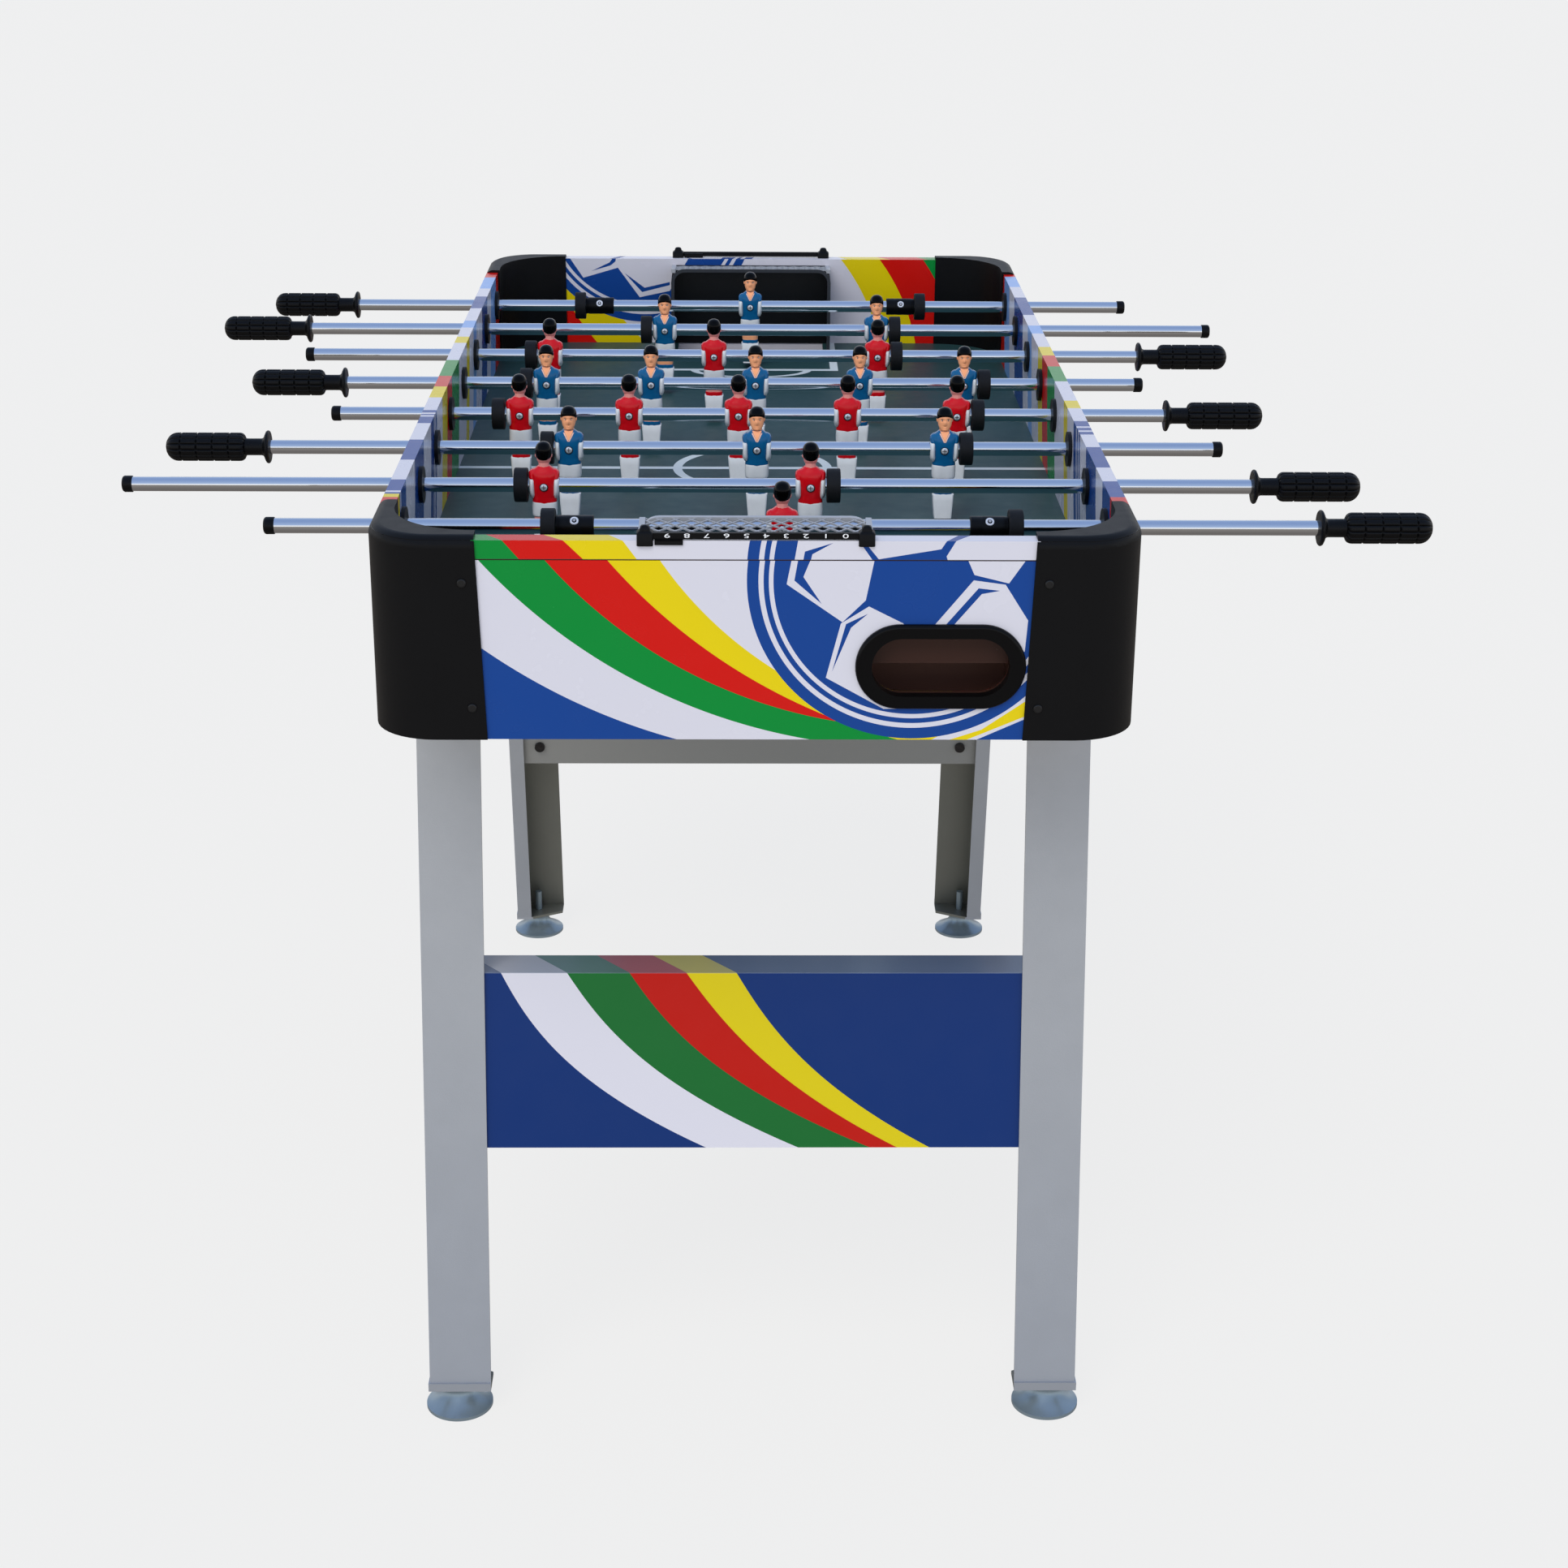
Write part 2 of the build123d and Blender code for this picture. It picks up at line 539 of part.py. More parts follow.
def handle():
    """A handle along +X from x = 0: flange, neck and a grip with ring grooves; bored for the tube."""
    groove = 0.9
    core_r = HANDLE_GRIP_R - 1
    grip_end = HANDLE_LENGTH - HANDLE_NOSE
    segment = (grip_end - HANDLE_GRIP_START) / 5
    shape = rod_along_x(HANDLE_FLANGE_R, 0, 6)
    shape = fillet(shape.edges(), 1.5)
    shape += rod_along_x(7.6, 6, HANDLE_GRIP_START)
    for i in range(5):
        x0 = HANDLE_GRIP_START + i * segment
        ring = rod_along_x(HANDLE_GRIP_R, x0 + groove, x0 + segment - groove)
        shape += fillet(ring.edges(), 1.2)
    shape += rod_along_x(core_r, HANDLE_GRIP_START, grip_end)
    nose = Pos(grip_end, 0, 0) * scale(Sphere(core_r), by=(HANDLE_NOSE / core_r, 1, 1))
    shape += nose & block(grip_end, HANDLE_LENGTH + 1, -20, 20, -20, 20)
    return shape - rod_along_x(ROD_R, -1, HANDLE_LENGTH - TUBE_IN_HANDLE)


def end_cap():
    """The cap on a rod's other end, inward along +X from x = 0, bored for the tube."""
    shape = rod_along_x(END_CAP_R, 0, END_CAP_LENGTH)
    shape = fillet(shape.edges().group_by(Axis.X)[0], 2.0)
    return shape - rod_along_x(ROD_R, 2, END_CAP_LENGTH + 1)


def collar():
    """The clamp sleeve beside a goalkeeper's bumper, along -X from its outer face."""
    shape = rod_along_x(COLLAR_R, -COLLAR_LENGTH, 0)
    shape = fillet(shape.edges(), 0.8)
    return shape - rod_along_x(ROD_R, -COLLAR_LENGTH - 1, 1)


def fittings_of(rod):
    """Handle, end cap and, on a goalkeeper's rod, the two clamp sleeves."""
    cap_x, handle_x = rod_ends(rod)
    side = HANDLE_SIDE[rod]
    y = ROD_Y[rod]
    grip = handle()
    cap = end_cap()
    if side < 0:
        grip = mirror(grip, about=Plane.YZ)
        cap = mirror(cap, about=Plane.YZ)
    pieces = [
        Pos(handle_x - side * HANDLE_LENGTH, y, ROD_Z) * grip,
        Pos(cap_x, y, ROD_Z) * cap,
    ]
    if MEN_COUNT[rod] == 1:
        inner_face = BUMPER_OUT[1] - BUMPER_THICK - RUN_FIT * 6
        for way in (-1, 1):
            sleeve = collar() if way > 0 else mirror(collar(), about=Plane.YZ)
            pieces.append(Pos(REST_SHIFT[rod] + way * inner_face, y, ROD_Z) * sleeve)
    return pieces


def bumpers_of(rod):
    """The two rubber bumpers of a rod."""
    out = BUMPER_OUT[MEN_COUNT[rod]]
    pieces = []
    for way in (-1, 1):
        far = REST_SHIFT[rod] + way * out
        near = far - way * BUMPER_THICK
        ring = fillet(rod_along_x(BUMPER_R, near, far, ROD_Y[rod], ROD_Z).edges(), 1.2)
        pieces.append(ring - rod_along_x(ROD_R + RUN_FIT, near - 20, far + 20, ROD_Y[rod], ROD_Z))
    return pieces


# ---------------------------------------------------------------- assembly
for name, side in SIDES.items():
    nodes[f"side_panel_{name}"] = side_panel(side)
for name, end in ENDS.items():
    nodes[f"end_panel_{name}"] = end_panel(end)
    nodes[f"goal_{name}"] = goal(end)
    nodes[f"return_cup_{name}"] = return_cup(end)
    nodes[f"scorer_bar_{name}"] = scorer_bar(end)
    nodes[f"scorer_slider_{name}"] = scorer_slider(end)
    nodes[f"stretcher_{name}"] = stretcher(end)
nodes["playfield"] = playfield()
nodes["field_battens"] = field_battens()
nodes["ball_chutes"] = [ball_chute(-1), ball_chute(1)]
nodes["corner_caps"] = [to_corner(corner_cap(), side, end) for side, end in CORNERS.values()]
nodes["rod_bushings"] = rod_bushings()
nodes["fasteners"] = fasteners()
for name, (side, end) in CORNERS.items():
    nodes[f"leg_{name}"] = to_corner(leg(), side, end)
    nodes[f"leveller_{name}"] = to_corner(leveller(), side, end)
for rod in range(8):
    number = rod + 1
    nodes[f"rod_{number}_tube"] = tube_of(rod)
    nodes[f"rod_{number}_men"] = men_of(rod)
    nodes[f"rod_{number}_fittings"] = fittings_of(rod)
    nodes[f"rod_{number}_bumpers"] = bumpers_of(rod)

os.makedirs("parts", exist_ok=True)
for name, shape in nodes.items():
    pieces = shape if isinstance(shape, list) else [shape]
    children = [solid for piece in pieces for solid in solids_of(piece)]
    export_step(Compound(children=children), f"parts/{name}.step")
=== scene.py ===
"""Looks of the foosball table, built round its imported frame.

Lengths are millimetres in the row frame unless a name says otherwise; MM turns them into metres.
"""
from functools import reduce
from math import copysign, cos, exp, pi, radians, sin

import bpy
from mathutils import Matrix, Vector


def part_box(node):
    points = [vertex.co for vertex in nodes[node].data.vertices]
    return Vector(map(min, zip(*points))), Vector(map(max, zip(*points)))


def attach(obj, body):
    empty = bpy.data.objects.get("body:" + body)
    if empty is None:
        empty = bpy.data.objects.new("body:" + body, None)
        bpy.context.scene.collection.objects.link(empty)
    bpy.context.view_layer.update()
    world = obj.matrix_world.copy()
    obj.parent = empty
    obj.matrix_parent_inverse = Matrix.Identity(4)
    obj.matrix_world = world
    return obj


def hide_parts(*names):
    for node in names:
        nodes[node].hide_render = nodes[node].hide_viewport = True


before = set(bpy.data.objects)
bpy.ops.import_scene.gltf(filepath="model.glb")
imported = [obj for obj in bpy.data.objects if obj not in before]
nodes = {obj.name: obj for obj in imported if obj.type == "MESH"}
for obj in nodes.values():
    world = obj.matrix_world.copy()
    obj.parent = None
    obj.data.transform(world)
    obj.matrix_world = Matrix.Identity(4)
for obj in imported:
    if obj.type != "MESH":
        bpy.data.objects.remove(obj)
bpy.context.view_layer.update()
MM = 0.001


def box_mm(node):
    """A node's lowest and highest corner in millimetres."""
    low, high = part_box(node)
    return low / MM, high / MM


# ---------------- places read from the frame
PANEL_LOW, PANEL_HIGH = box_mm("end_panel_back")
END_FACE = PANEL_HIGH.y  # outer face of the end boards
END_IN = PANEL_LOW.y  # inner face of the end boards
BOX_TOP = PANEL_HIGH.z
BOX_LOW = PANEL_LOW.z
SIDE_FACE = box_mm("side_panel_right")[1].x
FIELD_Z = box_mm("playfield")[1].z
GOAL_LOW, GOAL_HIGH = box_mm("goal_back")
ENDS = {"front": -1, "back": 1}
RODS = range(1, 9)
RED_RODS = (1, 2, 4, 6)  # their men face +Y, the others -Y
GOALKEEPERS = (1, 8)
CAP_EDGE = 219.0  # |X| where the corner caps start on the end boards
CAP_SIDE_EDGE = 496.0  # |Y| where they start on the side boards
CAP_WALL = 2.0
CAP_RIM = 12.0  # how far in from the boards' faces and top the caps hide them
CAP_LAP = 2.0  # how far inside the caps' edges the boards turn black
LEG_LIP = 1.2  # how far the bottom plate's edge stands off the leg
LEG_DEPTH = 46.0  # of a leg's side flange, along Y


def rod_axis(rod):
    """Y and Z of a rod's axis."""
    low, high = box_mm(f"rod_{rod}_tube")
    return (low.y + high.y) / 2, (low.z + high.z) / 2


# ---------------- colours
def ink(red, green, blue):
    """A colour given in display values from 0 to 255, as linear RGBA."""
    linear = []
    for value in (red, green, blue):
        share = value / 255
        linear.append(share / 12.92 if share <= 0.04045 else ((share + 0.055) / 1.055) ** 2.4)
    return (*linear, 1.0)


WHITE = ink(203, 202, 211)
BLUE = ink(16, 62, 134)
GREEN = ink(2, 130, 50)
RED = ink(196, 16, 8)
YELLOW = ink(216, 194, 4)
PALE_BLUE = ink(120, 160, 215)
NAVY = ink(14, 46, 104)
UNDER_CAPS = ink(9, 9, 10)


# ---------------- shader graphs
COAT_ROUGH = 0.12


class Nodes:
    """A node tree and the ways to add to it."""

    def __init__(self, tree):
        self.tree = tree

    def feed(self, socket, value):
        if isinstance(value, bpy.types.NodeSocket):
            self.tree.links.new(value, socket)
        else:
            socket.default_value = value

    def node(self, kind, feeds=(), **settings):
        """The outputs of a new node; feeds go to its inputs in order, or by name or place."""
        made = self.tree.nodes.new("ShaderNode" + kind)
        for key, value in settings.items():
            setattr(made, key, value)
        for key, value in feeds.items() if isinstance(feeds, dict) else enumerate(feeds):
            self.feed(made.inputs[key], value)
        return made.outputs

    def ramp(self, value, stops, interpolation="LINEAR"):
        """A colour from (place, colour) stops between 0 and 1."""
        made = self.tree.nodes.new("ShaderNodeValToRGB")
        made.color_ramp.interpolation = interpolation
        elements = made.color_ramp.elements
        elements.remove(elements[1])
        elements[0].position, elements[0].color = stops[0]
        for place, color in stops[1:]:
            elements.new(place).color = color
        self.feed(made.inputs[0], value)
        return made.outputs[0]


class Graph(Nodes):
    """A material's node tree and the few operations that the prints and finishes are made of."""

    def __init__(self, name, rough=0.5, metal=0.0, coat=0.0, specular=0.5):
        self.material = bpy.data.materials.new(name)
        self.material.use_nodes = True
        super().__init__(self.material.node_tree)
        self.look("Roughness", rough)
        self.look("Metallic", metal)
        self.look("Specular IOR Level", specular)
        self.look("Coat Weight", coat)
        self.look("Coat Roughness", COAT_ROUGH)
        self.place = self.node("TexCoord")["Object"]

    def look(self, name, value):
        """Feed an input of the shader."""
        self.feed(self.tree.nodes["Principled BSDF"].inputs[name], value)

    def math(self, operation, *values):
        return self.node("Math", values, operation=operation)[0]

    def above(self, value, limit):
        """1 where value is greater than limit."""
        return self.math("GREATER_THAN", value, limit)

    def below(self, value, limit):
        """1 where value is less than limit."""
        return self.math("LESS_THAN", value, limit)

    def times(self, a, b):
        return self.math("MULTIPLY", a, b)

    def plus(self, a, b):
        return self.math("ADD", a, b)

    def minus(self, a, b):
        return self.math("SUBTRACT", a, b)

    def size(self, value):
        """The value without its sign."""
        return self.math("ABSOLUTE", value)

    def axes_mm(self):
        """X, Y and Z of the shaded point in millimetres."""
        return [self.times(out, 1 / MM) for out in self.node("SeparateXYZ", [self.place])]

    def spot(self, p, q):
        """The vector (p, q, 1), which outlines are tested against."""
        return self.node("CombineXYZ", (p, q, 1.0))[0]

    def disc(self, spot, p, q, radius):
        """1 inside a circle."""
        away = self.node("VectorMath", (spot, (p, q, 1.0)), operation="DISTANCE")
        return self.below(away["Value"], radius)

    def ring(self, spot, p, q, inner, outer):
        """1 between two circles with one centre."""
        hole = self.disc(spot, p, q, inner)
        return self.minus(self.disc(spot, p, q, outer), hole)

    def patch(self, spot, *corners):
        """1 inside a convex outline of (p, q) corners in order."""
        mid_p = sum(p for p, _ in corners) / len(corners)
        mid_q = sum(q for _, q in corners) / len(corners)
        inside = None
        for (ap, aq), (bp, bq) in zip(corners, corners[1:] + corners[:1]):
            slope_p, slope_q = aq - bq, bp - ap
            level = -(slope_p * ap + slope_q * aq)
            sign = 1 if slope_p * mid_p + slope_q * mid_q + level > 0 else -1
            edge = (sign * slope_p, sign * slope_q, sign * level)
            value = self.node("VectorMath", (spot, edge), operation="DOT_PRODUCT")["Value"]
            inside = value if inside is None else self.math("MINIMUM", inside, value)
        return self.above(inside, 0.0)

    def paint(self, mask, under, over):
        """The colour under, with over where the mask is 1."""
        return self.node("Mix", {0: mask, 6: under, 7: over}, data_type="RGBA")[2]

    def both(self, *masks):
        """1 where all the masks are 1."""
        return reduce(self.times, masks)

    def most(self, *values):
        """The highest of the values; of masks, 1 where any is 1."""
        return reduce(lambda a, b: self.math("MAXIMUM", a, b), values)

    def share(self, value, low, high):
        """How far a value is from low to high."""
        return self.math("DIVIDE", self.minus(value, low), high - low)

    def noise(self, size, detail=2.0, stretch=(1, 1, 1)):
        """Noise whose features are about size millimetres across."""
        point = self.node("VectorMath", (self.place, [1 / s for s in stretch]), operation="MULTIPLY")[0]
        feeds = {"Vector": point, "Scale": 1 / (size * MM), "Detail": detail}
        return self.node("TexNoise", feeds)["Fac"]

    def spread(self, value, low, high):
        """A 0 to 1 value moved to a range."""
        return self.node("MapRange", {"Value": value, "To Min": low, "To Max": high})[0]

    def relief(self, height, depth, strength=1.0):
        """Bump from a height from 0 to 1, depth millimetres deep."""
        feeds = {"Height": height, "Distance": depth * MM, "Strength": strength}
        self.look("Normal", self.node("Bump", feeds)[0])

    def rough_from(self, value, low, high):
        self.look("Roughness", self.spread(value, low, high))

    def mottle(self, color, size, amount):
        """A colour with slow light and dark patches."""
        tone = self.spread(self.noise(size, 3.0), 1 - amount, 1 + amount)
        color = color[:3] if isinstance(color, tuple) else color
        self.look("Base Color", self.node("VectorMath", {0: color, "Scale": tone}, operation="SCALE")[0])


# ---------------- finishes
def leg_face(z):
    """Y of the back legs' outer face at height z."""
    low, high = box_mm("leg_back_right")
    at_top = low.y + LEG_DEPTH
    return at_top + (high.y - LEG_LIP - at_top) * (high.z - z) / (high.z - low.z)


def behind_leg_face(graph, y, z):
    """Depth of a point behind the leaning plane of the legs' outer faces."""
    slope = leg_face(1.0) - leg_face(0.0)
    face = graph.plus(graph.times(z, slope), leg_face(0.0))
    return graph.minus(face, y)


def finish(name, color, tone, gloss, grain, depth, **look):
    """A plain finish: tone is (size, amount) of its patches, gloss is (noise, low and high roughness)."""
    graph = Graph(name, **look)
    graph.mottle(color, *tone)
    noise, low, high = gloss
    graph.rough_from(graph.noise(*noise), low, high)
    graph.relief(graph.noise(*grain), depth)
    return graph.material


def moulded(name, color, rough=0.4, grain=0.6, depth=0.05, specular=0.35):
    """Moulded plastic: fine spark-eroded grain and slow changes of tone."""
    gloss = ((14, 3.0), rough - 0.05, rough + 0.07)
    return finish(name, color, (60, 0.08), gloss, (grain, 2.0), depth, specular=specular)


def gloss_paint(name, color, rough=0.22, coat=0.12):
    """Thick glossy paint on a moulded figure: slight orange peel."""
    gloss = ((3, 2.0), rough - 0.04, rough + 0.08)
    return finish(name, color, (7, 0.07), gloss, (1.6, 2.0), 0.05, coat=coat, specular=0.3)


def powder_coat():
    """Silver-grey coated steel with the fine pebble of powder coat, with painted shade: darker inside the
    fold of a leg and darker towards the floor.
    """
    graph = Graph("powder_coat", rough=0.42, metal=0.45)
    x, y, z = graph.axes_mm()
    skin = 1.2
    depth = behind_leg_face(graph, graph.size(y), z)
    # painted shade: the faces inside a leg's fold, where shade falls, take the darker ink(118, 119, 112)
    inside = graph.both(
        graph.below(graph.size(x), box_mm("leg_back_right")[1].x - 2 * skin),
        graph.above(depth, skin),
        graph.below(depth, LEG_DEPTH - skin),
    )
    # painted shade: the outer faces grow darker towards the floor
    outside = graph.paint(graph.math("DIVIDE", z, BOX_LOW), ink(160, 165, 173), ink(176, 178, 180))
    graph.mottle(graph.paint(inside, outside, ink(118, 119, 112)), 35, 0.05)
    graph.rough_from(graph.noise(5, 3.0), 0.34, 0.5)
    graph.relief(graph.noise(1.1, 3.0), 0.07)
    return graph.material


def film(graph, rough=0.24):
    """The clear film over a print: soft gloss and the slight unevenness of the board under it."""
    graph.look("Specular IOR Level", 0.25)
    graph.rough_from(graph.noise(30, 3.0), rough - 0.04, rough + 0.08)
    graph.relief(graph.noise(2.4, 3.0), 0.05, 0.6)


RETURN_RIM = 6.0  # depth of a ball return's black rim
RETURN_LIT_FLOOR_SHARE = 0.4  # share of its height up to which the shaded floor is painted a paler brown, as painted light


def return_cup():
    """Black moulding of a ball return: glossy rim, dull brown inside, and painted light: its shaded floor
    painted a paler brown.
    """
    graph = Graph("return_cup", rough=0.24, specular=0.4)
    _, y, z = graph.axes_mm()
    inside = graph.below(graph.size(y), END_FACE - RETURN_RIM)
    low, high = box_mm("return_cup_front")
    # painted light: below this height the shaded floor takes a paler brown than the wall
    wall = graph.above(z, low.z + RETURN_LIT_FLOOR_SHARE * (high.z - low.z))
    brown_with_painted_light = graph.paint(wall, ink(120, 80, 66), ink(42, 27, 22))
    graph.mottle(graph.paint(inside, ink(9, 9, 10), brown_with_painted_light), 30, 0.06)
    graph.look("Roughness", graph.spread(inside, 0.22, 0.7))
    graph.look("Specular IOR Level", graph.spread(inside, 0.14, 0.05))
    graph.relief(graph.noise(0.7, 2.0), 0.04)
    return graph.material


# ---------------- prints on the boards
BAND_CIRCLES = (  # centre X and Z, radius, colour inside
    (70.0, 1133.7, 476.5, WHITE),
    (121.2, 1112.5, 443.4, GREEN),
    (129.7, 1066.7, 380.9, RED),
    (236.2, 1116.4, 457.2, YELLOW),
    (188.8, 997.8, 315.4, WHITE),
)
SEAM_Z = 824.4  # where the wrapped top strip starts
# width of the painted shadow line along the seam
SEAM_WIDTH = 0.8
STRIP_BANDS = (  # X at the seam, X gained per millimetre up, colour left of it
    (-92.1, -0.72, YELLOW),
    (-133.7, -1.01, RED),
    (-183.5, -0.85, GREEN),
)
BALL_R = 131.0
BALL_PLACE = (124, 808)  # X and Z of the ball's middle on the outer face
STRIP_BALL_PLACE = (124, 816)  # the same on the wrapped strip, a little out of step
INNER_BALL_PLACE = (-125.6, 896)
INNER_SPLIT = 20.0  # X where the inner face changes from the ball to the bands
BALL_RINGS = ((118.0, 122.0), (110.3, 113.9))
INNER_BANDS = (  # right half of the inner face: centre X and Z, radius, colour
    (10.0, 700.0, 239.4, RED),
    (-39.0, 694.3, 240.8, YELLOW),
    (-80.0, 690.0, 239.5, WHITE),
)


def ball_disc(graph, color, spot, p, q):
    """A blue ball's edge and its thin white rings."""
    color = graph.paint(graph.disc(spot, p, q, BALL_R), color, BLUE)
    for inner, outer in BALL_RINGS:
        color = graph.paint(graph.ring(spot, p, q, inner, outer), color, WHITE)
    return color


def discs(graph, spot, color, circles):
    """Flat discs laid over a colour."""
    for p, q, radius, tint in circles:
        color = graph.paint(graph.disc(spot, p, q, radius), color, tint)
    return color


def patches(graph, spot, color, outlines):
    """Flat patches laid over a colour."""
    for corners, tint in outlines:
        color = graph.paint(graph.patch(spot, *corners), color, tint)
    return color


def outer_print(graph, spot):
    """The outer face of an end board below the seam: sweeping bands and a ball."""
    color = patches(graph, spot, discs(graph, spot, BLUE, BAND_CIRCLES), (
        (((137, 674), (222, 722), (222, 674)), WHITE),
        (((149, 674), (180, 684.5), (185, 683), (164, 674)), YELLOW),
        (((180, 684.5), (222, 714), (222, 699), (185, 683)), YELLOW),
        (((172, 674), (222, 697), (222, 674)), BLUE),
    ))
    color = ball_disc(graph, color, spot, *BALL_PLACE)
    return patches(graph, spot, color, (
        (((28, 826), (24, 805), (68, 774), (86, 792), (92.5, 826)), WHITE),
        (((33, 826), (30, 808), (37, 811), (43, 826)), BLUE),
        (((30, 808), (51.5, 789), (37, 811)), BLUE),
        (((164.5, 826), (170.4, 812.8), (197.6, 806), (211, 826)), WHITE),
        (((141, 772.5), (170, 808.5), (195, 805), (213.7, 775.6), (212, 750), (141, 750)), WHITE),
        (((148.3, 771), (174, 802), (176.6, 797.3), (154.8, 771)), BLUE),
        (((174, 802), (191, 800), (176.6, 797.3)), BLUE),
        (((66.8, 773), (88.6, 787), (116, 773), (116, 702), (101.5, 702), (55.5, 728)), WHITE),
        (((88, 781), (70.8, 772.5), (74.8, 769.5)), BLUE),
        (((70.8, 772.5), (60.3, 733), (74.8, 769.5)), BLUE),
    ))


def strip_print(graph, p, q, spot):
    """The wrapped strip above the seam: the same picture, laid a little out of step."""
    color = WHITE
    up = graph.minus(q, SEAM_Z)
    for start, gain, band in STRIP_BANDS:
        limit = graph.plus(graph.times(up, gain), start)
        color = graph.paint(graph.below(p, limit), color, band)
    color = ball_disc(graph, color, spot, *STRIP_BALL_PLACE)
    return patches(graph, spot, color, (
        (((29.6, 822), (36, 860), (66, 860), (92.5, 822)), WHITE),
        (((36.4, 822), (38, 831.5), (43.8, 829.3), (42.2, 822)), BLUE),
        (((38, 831.5), (60, 838.5), (43.8, 829.3)), BLUE),
        (((66, 862), (95.5, 825.4), (144, 833.6), (162, 862)), WHITE),
        (((150, 822), (147.2, 831), (157, 843), (168, 862), (222, 862), (222, 822)), WHITE),
    ))


def inner_print(graph, p, spot):
    """The inner face of an end board: the ball at the left and bands at the right."""
    right = discs(graph, spot, GREEN, INNER_BANDS)
    left = discs(graph, spot, RED, ((102, 977, 371, YELLOW), (110, 990, 343.3, WHITE)))
    left = ball_disc(graph, left, spot, *INNER_BALL_PLACE)
    left = patches(graph, spot, left, (
        (((-215, 842), (-198.5, 817.3), (-157.4, 829.3), (-154, 842)), WHITE),
        (((-188.7, 825.2), (-167.2, 835.5), (-160.3, 836.5), (-166.2, 831.8)), BLUE),
        (((-167.2, 835.5), (-162, 842), (-159, 842), (-160.3, 836.5)), BLUE),
        (((-157.4, 829.3), (-131.9, 794.3), (-96, 802), (-73, 842), (-154, 842)), WHITE),
        (((-149.6, 823.1), (-129, 800.4), (-126, 805.6)), BLUE),
        (((-129, 800.4), (-96, 808.8), (-96, 812.5), (-126, 805.6)), BLUE),
    ))
    return graph.paint(graph.above(p, INNER_SPLIT), left, right)


def printed(graph, color, along, cap_edge, outer, z):
    """Finish a board: its print, black where the caps hide it, under a clear film."""
    rim = graph.most(outer, graph.above(z, BOX_TOP - CAP_RIM))
    capped = graph.both(graph.above(graph.size(along), cap_edge + CAP_LAP), rim)
    graph.look("Base Color", graph.paint(capped, color, UNDER_CAPS))
    film(graph)
    return graph.material


def end_board(name, end):
    """Print of an end board, on its outer face, its wrapped top strip and its inner face, with a painted
    shadow line along the seam.
    """
    graph = Graph(f"print_end_{name}", rough=0.25)
    x, y, z = graph.axes_mm()
    depth = graph.minus(END_FACE, graph.size(y))
    p_out = graph.times(x, -end)
    p_in = graph.times(x, end)
    q_wrapped = graph.plus(z, depth)
    board = outer_print(graph, graph.spot(p_out, z))
    strip = strip_print(graph, p_out, q_wrapped, graph.spot(p_out, q_wrapped))
    on_strip = graph.above(z, SEAM_Z)
    color = graph.paint(on_strip, board, strip)
    # painted shadow: a thin dark line along the seam, where the wrapped strip steps over the outer face
    groove = graph.both(on_strip, graph.below(z, SEAM_Z + SEAM_WIDTH))
    color = graph.paint(graph.times(groove, 0.5), color, ink(60, 60, 66))
    core = graph.both(graph.above(depth, 0.1), graph.below(z, BOX_TOP - 3))
    color = graph.paint(core, color, ink(58, 37, 31))
    inside = graph.above(depth, END_FACE - END_IN - 0.05)
    color = graph.paint(inside, color, inner_print(graph, p_in, graph.spot(p_in, z)))
    return printed(graph, color, x, CAP_EDGE, graph.below(depth, CAP_RIM), z)


LEFT_BANDS = (
    (-604, RED), (-479, YELLOW), (-473, WHITE), (-470, BLUE), (-466, WHITE),
    (-463, BLUE), (-423, WHITE), (-376, BLUE), (-373, WHITE), (-360, BLUE),
    (-290, WHITE), (-231, BLUE), (-203, WHITE), (-198, BLUE), (-194, WHITE),
    (-189, BLUE), (-178, WHITE), (-127, YELLOW), (-85, RED), (-40, GREEN),
    (33, WHITE), (114, YELLOW), (141, WHITE), (189, PALE_BLUE), (225, WHITE),
    (287, BLUE), (355, WHITE), (402, PALE_BLUE), (463, RED),
)
RIGHT_BANDS = (
    (-604, RED), (-478, WHITE), (-474, BLUE), (-468, WHITE), (-464, BLUE),
    (-423, WHITE), (-382, BLUE), (-308, WHITE), (-263, BLUE), (-252, WHITE),
    (-247, BLUE), (-238, WHITE), (-233, BLUE), (-214, WHITE), (-162, YELLOW),
    (-136, WHITE), (-53, GREEN), (12, RED), (65, YELLOW), (104, WHITE),
    (169, PALE_BLUE), (211, WHITE), (262, BLUE), (362, WHITE), (419, PALE_BLUE),
    (478, RED),
)
BAND_LEAN = 40.0  # how far the bands of the side boards lean over the depth of the field


def side_board(name, stops):
    """Print of a side board: bands across its top edge that lean as they run down its faces."""
    graph = Graph(f"print_side_{name}", rough=0.25)
    x, y, z = graph.axes_mm()
    down = graph.share(z, BOX_TOP, FIELD_Z)
    lean = graph.times(graph.math("POWER", graph.most(down, 0.0), 1.25), BAND_LEAN)
    low, high = -END_FACE, END_FACE + 2 * BAND_LEAN
    stops = [(max(0.0, (start - low) / (high - low)), color) for start, color in stops]
    color = graph.ramp(graph.share(graph.plus(y, lean), low, high), stops, "CONSTANT")
    return printed(graph, color, y, CAP_SIDE_EDGE, graph.above(graph.size(x), SIDE_FACE - 10), z)


STRETCHER_BANDS = (  # X at the top and the bottom edge, straight share, colour right of it
    (-222.0, -42.0, 0.45, WHITE),
    (-164.0, 40.0, 0.5, ink(24, 100, 44)),
    (-109.0, 104.0, 0.5, ink(176, 20, 10)),
    (-59.0, 128.0, 0.6, ink(204, 186, 16)),
    (-15.0, 157.0, 0.55, NAVY),
)
STRETCHER_BEND = 2.6  # how late the bands turn away from the vertical
STRETCHER_SET_BACK = 3.2  # its face behind the legs' faces
STRETCHER_TOP_LEAN = 0.85  # how far the bands run aside per millimetre back over the top edge


